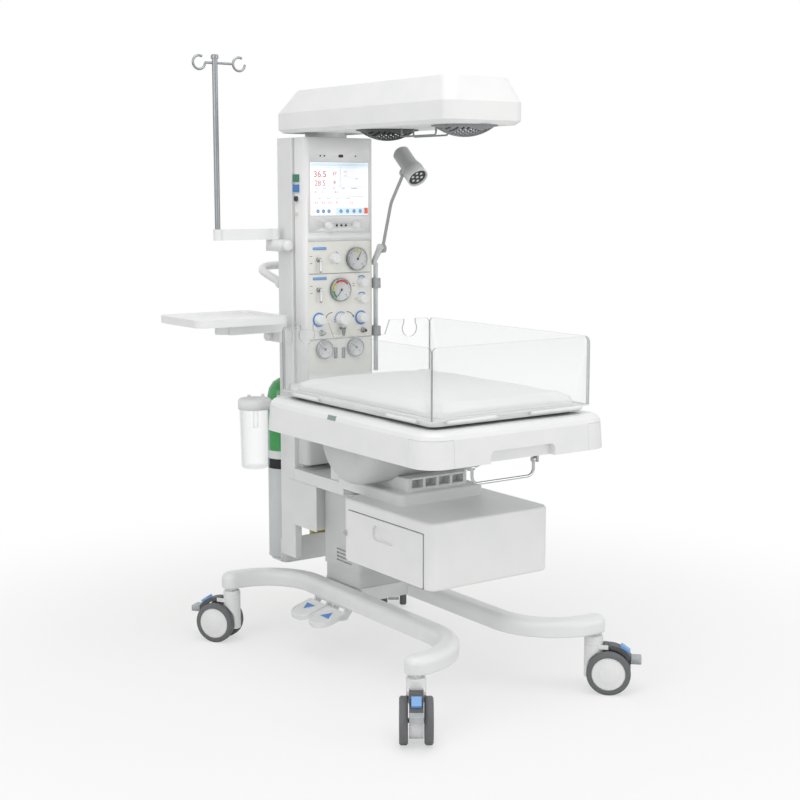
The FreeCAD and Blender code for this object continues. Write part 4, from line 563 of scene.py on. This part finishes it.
bump = add_node(tree, "ShaderNodeBump", {"Height": height.outputs[0], "Distance": 0.0003, "Strength": 0.8})
tone = add_node(tree, "ShaderNodeValToRGB", {"Fac": crease.outputs[0]})
tone.color_ramp.elements[0].color = linear("#EDEEEE")
tone.color_ramp.elements[1].color = linear("#F5F5F4")
cloth = add_node(tree, "ShaderNodeBsdfPrincipled",
                 {"Base Color": tone.outputs[0], "Roughness": 0.6, "Normal": bump.outputs[0],
                  "Sheen Weight": 0.15})
add_node(tree, "ShaderNodeOutputMaterial", {"Surface": cloth.outputs[0]})
print("cover", cover_cloth.name)

# %% Mattress
VOXEL = 6 * MM
HELD_DEPTH = 3 * MM
SWELL_CAP = Vector((5, 5, 8)) * MM
SWELL_FRAMES = 20
pad_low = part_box("mattress")[0]
build = bmesh.new()
build.from_mesh(nodes["mattress"].data)
bmesh.ops.remove_doubles(build, verts=build.verts, dist=1e-5)
mattress = new_piece("mattress_pad", build, cover_cloth, "bed")
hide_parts("mattress")


def apply_modifiers(piece):
    """Take the evaluated mesh as the piece's own, and drop its modifiers."""
    seen = piece.evaluated_get(bpy.context.evaluated_depsgraph_get())
    mesh = bpy.data.meshes.new_from_object(seen)
    piece.modifiers.clear()
    piece.data = mesh


remesh = mattress.modifiers.new("even", "REMESH")
remesh.mode = "VOXEL"
remesh.voxel_size = VOXEL
apply_modifiers(mattress)
rest = [v.co.copy() for v in mattress.data.vertices]
held = mattress.vertex_groups.new(name="held")
held.add([i for i, co in enumerate(rest) if co.z < pad_low.z + HELD_DEPTH], 1.0, "REPLACE")
swell = mattress.modifiers.new("swell", "CLOTH")
swell.settings.quality = 5
swell.settings.mass = 0.15
swell.settings.tension_stiffness = 12
swell.settings.compression_stiffness = 12
swell.settings.bending_stiffness = 0.6
swell.settings.use_pressure = True
swell.settings.uniform_pressure_force = 4
swell.settings.effector_weights.gravity = 0
swell.settings.vertex_group_mass = "held"
for step in range(1, SWELL_FRAMES + 1):
    bpy.context.scene.frame_set(step)
apply_modifiers(mattress)
for vertex, start in zip(mattress.data.vertices, rest):
    move = vertex.co - start
    limited = Vector([max(-most, min(most, value)) for value, most in zip(move, SWELL_CAP)])
    vertex.co = start + limited
    vertex.co.z = max(vertex.co.z, pad_low.z)
bpy.context.scene.frame_set(1)
mattress.data.shade_smooth()
corners = [[pick(v.co[i] for v in mattress.data.vertices) for i in range(3)] for pick in (min, max)]
print("mattress", [[round(value, 4) for value in corner] for corner in corners])

# %% [markdown]
# ## Printed marks and dials
# The small marks tell the eye how big the panel is: blue bars and arcs, black arrows, dial ticks and thin
# needles. Each is drawn flat in millimetres, given a fifth of a millimetre of thickness, and stood just in
# front of the face that it is printed on. The numbers are plain ones.

# %% Inks
# Screen-printing inks and the needles' enamel: dull, and a little deeper than the plastics beside them.
ink_blue = surface("ink_blue", "#5E95DA", "#588FD4", 0.5, 1.0, 0.002)
# The black ink also serves as painted shade in the gas outlet's mouth.
ink_black_and_painted_shade = surface("ink_black_and_painted_shade", "#2C2D2F", "#252628", 0.5, 1.0, 0.002)
ink_red = surface("ink_red", "#D8414E", "#CF3A47", 0.5, 1.0, 0.002)
ink_yellow = surface("ink_yellow", "#E4D34A", "#DCCB42", 0.5, 1.0, 0.002)
ink_green = surface("ink_green", "#3C9A6A", "#369263", 0.5, 1.0, 0.002)
needle_grey = surface("needle_grey", "#55585B", "#4D5053", 0.4, 1.0, 0.002)
print("inks", [ink.name for ink in (ink_blue, ink_black_and_painted_shade, ink_red, ink_yellow, ink_green, needle_grey)])

# %% Drawing helpers
def on_front(x, z, y, spin=0.0):
    """Place for flat work drawn in millimetres, standing on a face that looks to the front."""
    stand = Matrix.Rotation(math.radians(90), 4, "X") @ Matrix.Rotation(math.radians(spin), 4, "Z")
    return Matrix.Translation(at(x, y, z)) @ stand @ Matrix.Scale(MM, 4)


def bar(build, place, x, y, width, height):
    """A flat rectangle round a point of the drawing."""
    sized = place @ Matrix.Translation((x, y, 0)) @ Matrix.Diagonal((width, height, 1, 1))
    bmesh.ops.create_grid(build, x_segments=1, y_segments=1, size=0.5, matrix=sized)


def disc(build, place, radius, segments=40):
    """A flat filled circle round the drawing's middle."""
    bmesh.ops.create_circle(build, cap_ends=True, segments=segments, radius=radius, matrix=place)


def band(build, place, inner, outer, start, end):
    """A flat arc between two angles, counted from the drawing's right."""
    angle = math.radians(start)
    ends = [build.verts.new(place @ Vector((r * math.cos(angle), r * math.sin(angle), 0)))
            for r in (inner, outer)]
    edge = build.edges.new(ends)
    axis = (place.to_3x3() @ Vector((0, 0, 1))).normalized()
    steps = max(2, round(abs(end - start) / 6))
    bmesh.ops.spin(build, geom=ends + [edge], cent=place.translation, axis=axis,
                   angle=math.radians(end - start), steps=steps)


def figures(build, place, text, size):
    """Plain numbers, made a mesh before they are placed."""
    curve = bpy.data.curves.new("figures", "FONT")
    curve.body = text
    curve.size = size
    curve.align_x = "CENTER"
    curve.align_y = "CENTER"
    holder = bpy.data.objects.new("figures", curve)
    mesh = bpy.data.meshes.new_from_object(holder)
    mesh.transform(place)
    build.from_mesh(mesh)
    bpy.data.objects.remove(holder)
    bpy.data.meshes.remove(mesh)


def printed(name, build, finish, body, thick=0.2):
    """Give flat work its thickness and finish it as a piece."""
    bmesh.ops.remove_doubles(build, verts=build.verts, dist=1e-6)
    bmesh.ops.solidify(build, geom=build.faces[:], thickness=thick * MM)
    bmesh.ops.recalc_face_normals(build, faces=build.faces)
    return new_piece(name, build, finish, body)


print("helpers ready")

# %% Gauge dials
# Each dial: its middle across and up, and its radius. The gas panel's face is PANEL_FACE from the middle.
DIALS = ((57, 1170, 35), (-1, 1080, 35), (-59, 905, 28), (51, 905, 28))
NEEDLES = (60, 235, 150, 140)
PANEL_FACE = 327
DIAL_Y = PANEL_FACE - 10
ticks, numbers, needles = bmesh.new(), bmesh.new(), bmesh.new()
for (x, z, radius), turn in zip(DIALS, NEEDLES):
    face = radius - 5
    for i in range(11):
        spin = -45 + 27 * i
        bar(ticks, on_front(x, z, DIAL_Y - 0.3, spin), face - 2.6, 0, 4.2, 0.8)
    for i in range(0, 11, 5):
        angle = math.radians(225 - 27 * i)
        place = on_front(x + (face - 9) * math.cos(angle), z + (face - 9) * math.sin(angle), DIAL_Y - 0.3)
        figures(numbers, place, str(i), 6)
    bar(needles, on_front(x, z, DIAL_Y - 1.2, turn), face * 0.3, 0, face * 0.9, 1.3)
    disc(needles, on_front(x, z, DIAL_Y - 1.6), 3.4)
printed("dial_ticks", ticks, needle_grey, "carriage")
printed("dial_numbers", numbers, needle_grey, "carriage")
printed("dial_needles", needles, ink_black_and_painted_shade, "carriage", 0.5)
DIAL_BANDS = (
    ("dial_red", ink_red, DIALS[1], 24, 29.5, 35, 130),
    ("dial_yellow", ink_yellow, DIALS[1], 24, 29.5, 130, 185),
    ("dial_green", ink_green, DIALS[1], 24, 29.5, 185, 235),
    ("dial_mark", ink_yellow, DIALS[0], 21, 26, 68, 112))
for name, finish, (x, z, radius), inner, outer, start, end in DIAL_BANDS:
    build = bmesh.new()
    band(build, on_front(x, z, DIAL_Y - 0.25), inner, outer, start, end)
    printed(name, build, finish, "carriage")
print("dials", len(DIALS))

# %% Marks on the gas panel
blue, black = bmesh.new(), bmesh.new()
face_y = PANEL_FACE - 0.3
# Arcs beside the suction knob and over the two flow knobs.
band(blue, on_front(-21, 1174, face_y), 18.5, 21, -60, 70)
for z in (1100, 1050):
    band(blue, on_front(77, z, face_y), 17, 20.5, 50, 130)
# Rings round the outer two of the lower knobs, and a dashed arc round the middle one.
for x, radius in ((-75, 15), (74, 15)):
    band(blue, on_front(x, 993, face_y - 1.2), radius + 1.6, radius + 6.2, 0, 360)
for i in range(9):
    band(blue, on_front(2, 992, face_y - 1.2), 19.5, 23.5, 55 + 17 * i, 66 + 17 * i)
# An arrow from the middle knob to each side.
for side in (-1, 1):
    x, z, radius = side * 25 - 2, 986, 27
    turn = 152 if side < 0 else 28
    band(black, on_front(x, z, face_y), radius - 0.9, radius + 0.9, 90, turn)
    end_x = x + radius * math.cos(math.radians(turn))
    end_z = z + radius * math.sin(math.radians(turn))
    tip = on_front(end_x, end_z, face_y, -152 * side)
    bmesh.ops.create_circle(black, cap_ends=True, segments=3, radius=4.2, matrix=tip)
# Short black dashes beside the knobs and gauges.
DASHES = ((-100, 1181), (-100, 1160), (-100, 1093), (-100, 1072), (48, 1097), (48, 1090), (54, 1050),
          (-66, 962), (66, 956))
for x, z in DASHES:
    bar(black, on_front(x, z, face_y), 0, 0, 8, 1.2)
# A black disc at the gas outlet's mouth: painted shade in its opening.
disc(black, on_front(81, 955, face_y - 17), 4.5, 24)
printed("panel_marks_blue", blue, ink_blue, "carriage")
printed("panel_marks_black", black, ink_black_and_painted_shade, "carriage")
print("panel marks ready")

# %% [markdown]
# ## Screen
# The display shows a bright plain layout: a pale blue bar on top, red numbers, thin rules, a row of round
# icons and one orange button. It glows a little, and a fine lattice of pixels keeps the white from being
# flat.

# %% Screen
def lit(name, colour, strength):
    """A lit display area with a lattice of pixels of some 0.65 mm."""
    made, tree = blank_material(name)
    place = add_node(tree, "ShaderNodeTexCoord")
    rows = add_node(tree, "ShaderNodeTexWave", {"Vector": place.outputs["Object"], "Scale": 480.0},
                    bands_direction="X")
    columns = add_node(tree, "ShaderNodeTexWave", {"Vector": place.outputs["Object"], "Scale": 480.0},
                       bands_direction="Z")
    lattice = add_node(tree, "ShaderNodeMath", {0: rows.outputs[1], 1: columns.outputs[1]},
                       operation="MULTIPLY")
    level = add_node(tree, "ShaderNodeMapRange",
                     {"Value": lattice.outputs[0], "To Min": strength, "To Max": strength * 0.93})
    body = add_node(tree, "ShaderNodeBsdfPrincipled",
                    {"Base Color": linear(colour), "Roughness": 0.2, "Emission Color": linear(colour),
                     "Emission Strength": level.outputs[0]})
    add_node(tree, "ShaderNodeOutputMaterial", {"Surface": body.outputs[0]})
    return made


screen_white = lit("display_white", "#FAFBFD", 0.35)
screen_blue = lit("display_pale_blue", "#CFE6F5", 0.3)
screen_red = lit("display_red", "#C8324F", 0.12)
screen_steel = lit("display_steel_blue", "#6F93B8", 0.25)
screen_orange = lit("display_orange", "#E4694C", 0.3)
print("display colours ready")

# %% Screen layout
SCREEN_Y, SCREEN_MIDDLE_Z = 325.4, 1376.5
areas = {name: bmesh.new() for name in ("white", "blue", "red", "steel", "orange")}


def on_screen(depth):
    """Place for flat work in millimetres from the screen's middle, a little in front of its glass."""
    return on_front(0, SCREEN_MIDDLE_Z, SCREEN_Y - depth)


bar(areas["white"], on_screen(0), 0, 0, 202, 153)
bar(areas["blue"], on_screen(0.25), 0, 70, 200, 9)
bar(areas["blue"], on_screen(0.25), 38, -65, 104, 20)
for x in (-40, 2):
    bar(areas["steel"], on_screen(0.25), x, 34, 0.7, 58)
for y in (62, 6, -22):
    bar(areas["steel"], on_screen(0.25), 0, y, 196, 0.6)
READINGS = (
    (-68, 42, "36.5", 26), (-68, 16, "28.5", 22), (-18, 44, "37", 15), (-18, 18, "8", 15),
    (-84, -10, "9", 10), (-60, -10, "0", 10), (-12, -10, "9.5", 10), (-82, -40, "4.5", 11),
    (-58, -40, "4.5", 11), (-34, -40, "4.5", 11), (-10, -40, "0", 11), (40, -40, "5.5", 11))
for x, y, text, size in READINGS:
    figures(areas["red"], on_screen(0.25) @ Matrix.Translation((x, y, 0)), text, size)
for x in (-76, -57, -38, 4, 27, 50, 72):
    disc(areas["steel"], on_screen(0.45) @ Matrix.Translation((x, -65, 0)), 6, 24)
SHORT_RULES = ((-80, 2, 9), (-52, 2, 12), (-20, 2, 9), (12, 2, 12), (50, 2, 20), (-70, -27, 12),
               (-40, -27, 12), (-8, -27, 10), (30, -27, 14), (60, 30, 8), (20, 50, 10), (20, 38, 6))
for x, y, width in SHORT_RULES:
    bar(areas["steel"], on_screen(0.25), x, y, width, 1.6)
bar(areas["orange"], on_screen(0.45), 93, -64, 13, 18)
for name, finish in (("white", screen_white), ("blue", screen_blue), ("red", screen_red),
                     ("steel", screen_steel), ("orange", screen_orange)):
    printed("screen_" + name, areas[name], finish, "carriage", 0.15)
print("screen pieces", len(areas))

# %% [markdown]
# ## Small pieces
# Four details give the eye a scale on the large white forms: the blue triangles on the foot pedals, the
# lens with its light points in the exam lamp, the level window in the skirt, and the thin dark line round
# the drawer. Each is flat work like the printed marks, laid on the face that it belongs to.

# %% Pedal marks
PEDAL_SLOPE, PEDAL_TOP = 16, 15
PEDAL_HINGE_X, PEDAL_HINGE_Z = -152, 153


def on_pedal(y, along):
    """Place on the sloped top of a foot pedal, a distance out from its hinge."""
    tilt = Matrix.Rotation(math.radians(-PEDAL_SLOPE), 4, "Y")
    hinge = Matrix.Translation(at(PEDAL_HINGE_X, y, PEDAL_HINGE_Z))
    return hinge @ tilt @ Matrix.Translation((-along * MM, 0, PEDAL_TOP * MM)) @ Matrix.Scale(MM, 4)


for name, y, along, spin in (("down", 234, 21, 90), ("up", 122, 28, -90)):
    build = bmesh.new()
    turn = Matrix.Rotation(math.radians(spin), 4, "Z")
    place = on_pedal(y, along) @ turn @ Matrix.Diagonal((1, 0.75, 1, 1))
    bmesh.ops.create_circle(build, cap_ends=True, segments=3, radius=26, matrix=place)
    printed("pedal_mark_" + name, build, ink_blue, "pedal_" + name, 0.4)
print("pedal marks ready")

# %% Lens and light points of the exam lamp
LENS_DEPTH, LENS_RADIUS = 4.6, 26.5
POINT_RADIUS, POINT_CIRCLE, POINT_LIFT = 4, 15, 0.4
OUTER_POINTS = 6
lens_turn = LAMP_AIM.to_track_quat("Z", "Y").to_matrix().to_4x4()
lens_middle = LAMP_RIM - LAMP_AIM * LENS_DEPTH
lens_place = Matrix.Translation(at(*lens_middle)) @ lens_turn @ Matrix.Scale(MM, 4)
lens, leds = bmesh.new(), bmesh.new()
disc(lens, lens_place, LENS_RADIUS)
disc(leds, lens_place @ Matrix.Translation((0, 0, POINT_LIFT)), POINT_RADIUS, 20)
for i in range(OUTER_POINTS):
    angle = math.tau * i / OUTER_POINTS
    spot = Vector((POINT_CIRCLE * math.cos(angle), POINT_CIRCLE * math.sin(angle), POINT_LIFT))
    disc(leds, lens_place @ Matrix.Translation(spot), POINT_RADIUS, 20)
printed("lamp_lens", lens, dark_abs_and_painted_shade, "lamp_head", 0.3)
printed("lamp_leds", leds, dial_grey, "lamp_head", 0.3)
print("light points", OUTER_POINTS + 1)

# %% Level window in the skirt
# The window lies on the skirt's rounded top edge, 20 degrees up from its side.
EDGE_RADIUS, EDGE_SLANT = 20.0, math.radians(20)
EDGE_X, EDGE_Z, WINDOW_Y = -279, 768, -91.5
window_glass = surface("tinted_window_grey", "#8FA39C", "#87998F", 0.2, 2.0, 0.005)
window = bmesh.new()
edge_turn = Matrix.Rotation(EDGE_SLANT - math.radians(90), 4, "Y")
window_place = Matrix.Translation(at(EDGE_X - EDGE_RADIUS * math.cos(EDGE_SLANT), WINDOW_Y,
                                     EDGE_Z + EDGE_RADIUS * math.sin(EDGE_SLANT)))
bar(window, window_place @ edge_turn @ Matrix.Scale(MM, 4), 0, 0, 13, 39)
printed("skirt_window", window, window_glass, "bed", 1.6)
print("window ready")

# %% Drawer seam
SEAM_X, SEAM_WIDTH = -200.15, 1.4
SEAM_LINES = ((-198.5, 500.9, 351, SEAM_WIDTH), (-198.5, 355.6, 351, SEAM_WIDTH),
              (-373.9, 428, SEAM_WIDTH, 146), (-23.1, 428, SEAM_WIDTH, 146))
seam = bmesh.new()
side_turn = Matrix.Rotation(math.radians(-90), 4, "Y")
for y, z, width, height in SEAM_LINES:
    bar(seam, Matrix.Translation(at(SEAM_X, y, z)) @ side_turn @ Matrix.Scale(MM, 4), 0, 0, height, width)
printed("drawer_seam", seam, dark_abs_and_painted_shade, "carriage", 0.2)
print("seam lines", len(SEAM_LINES))
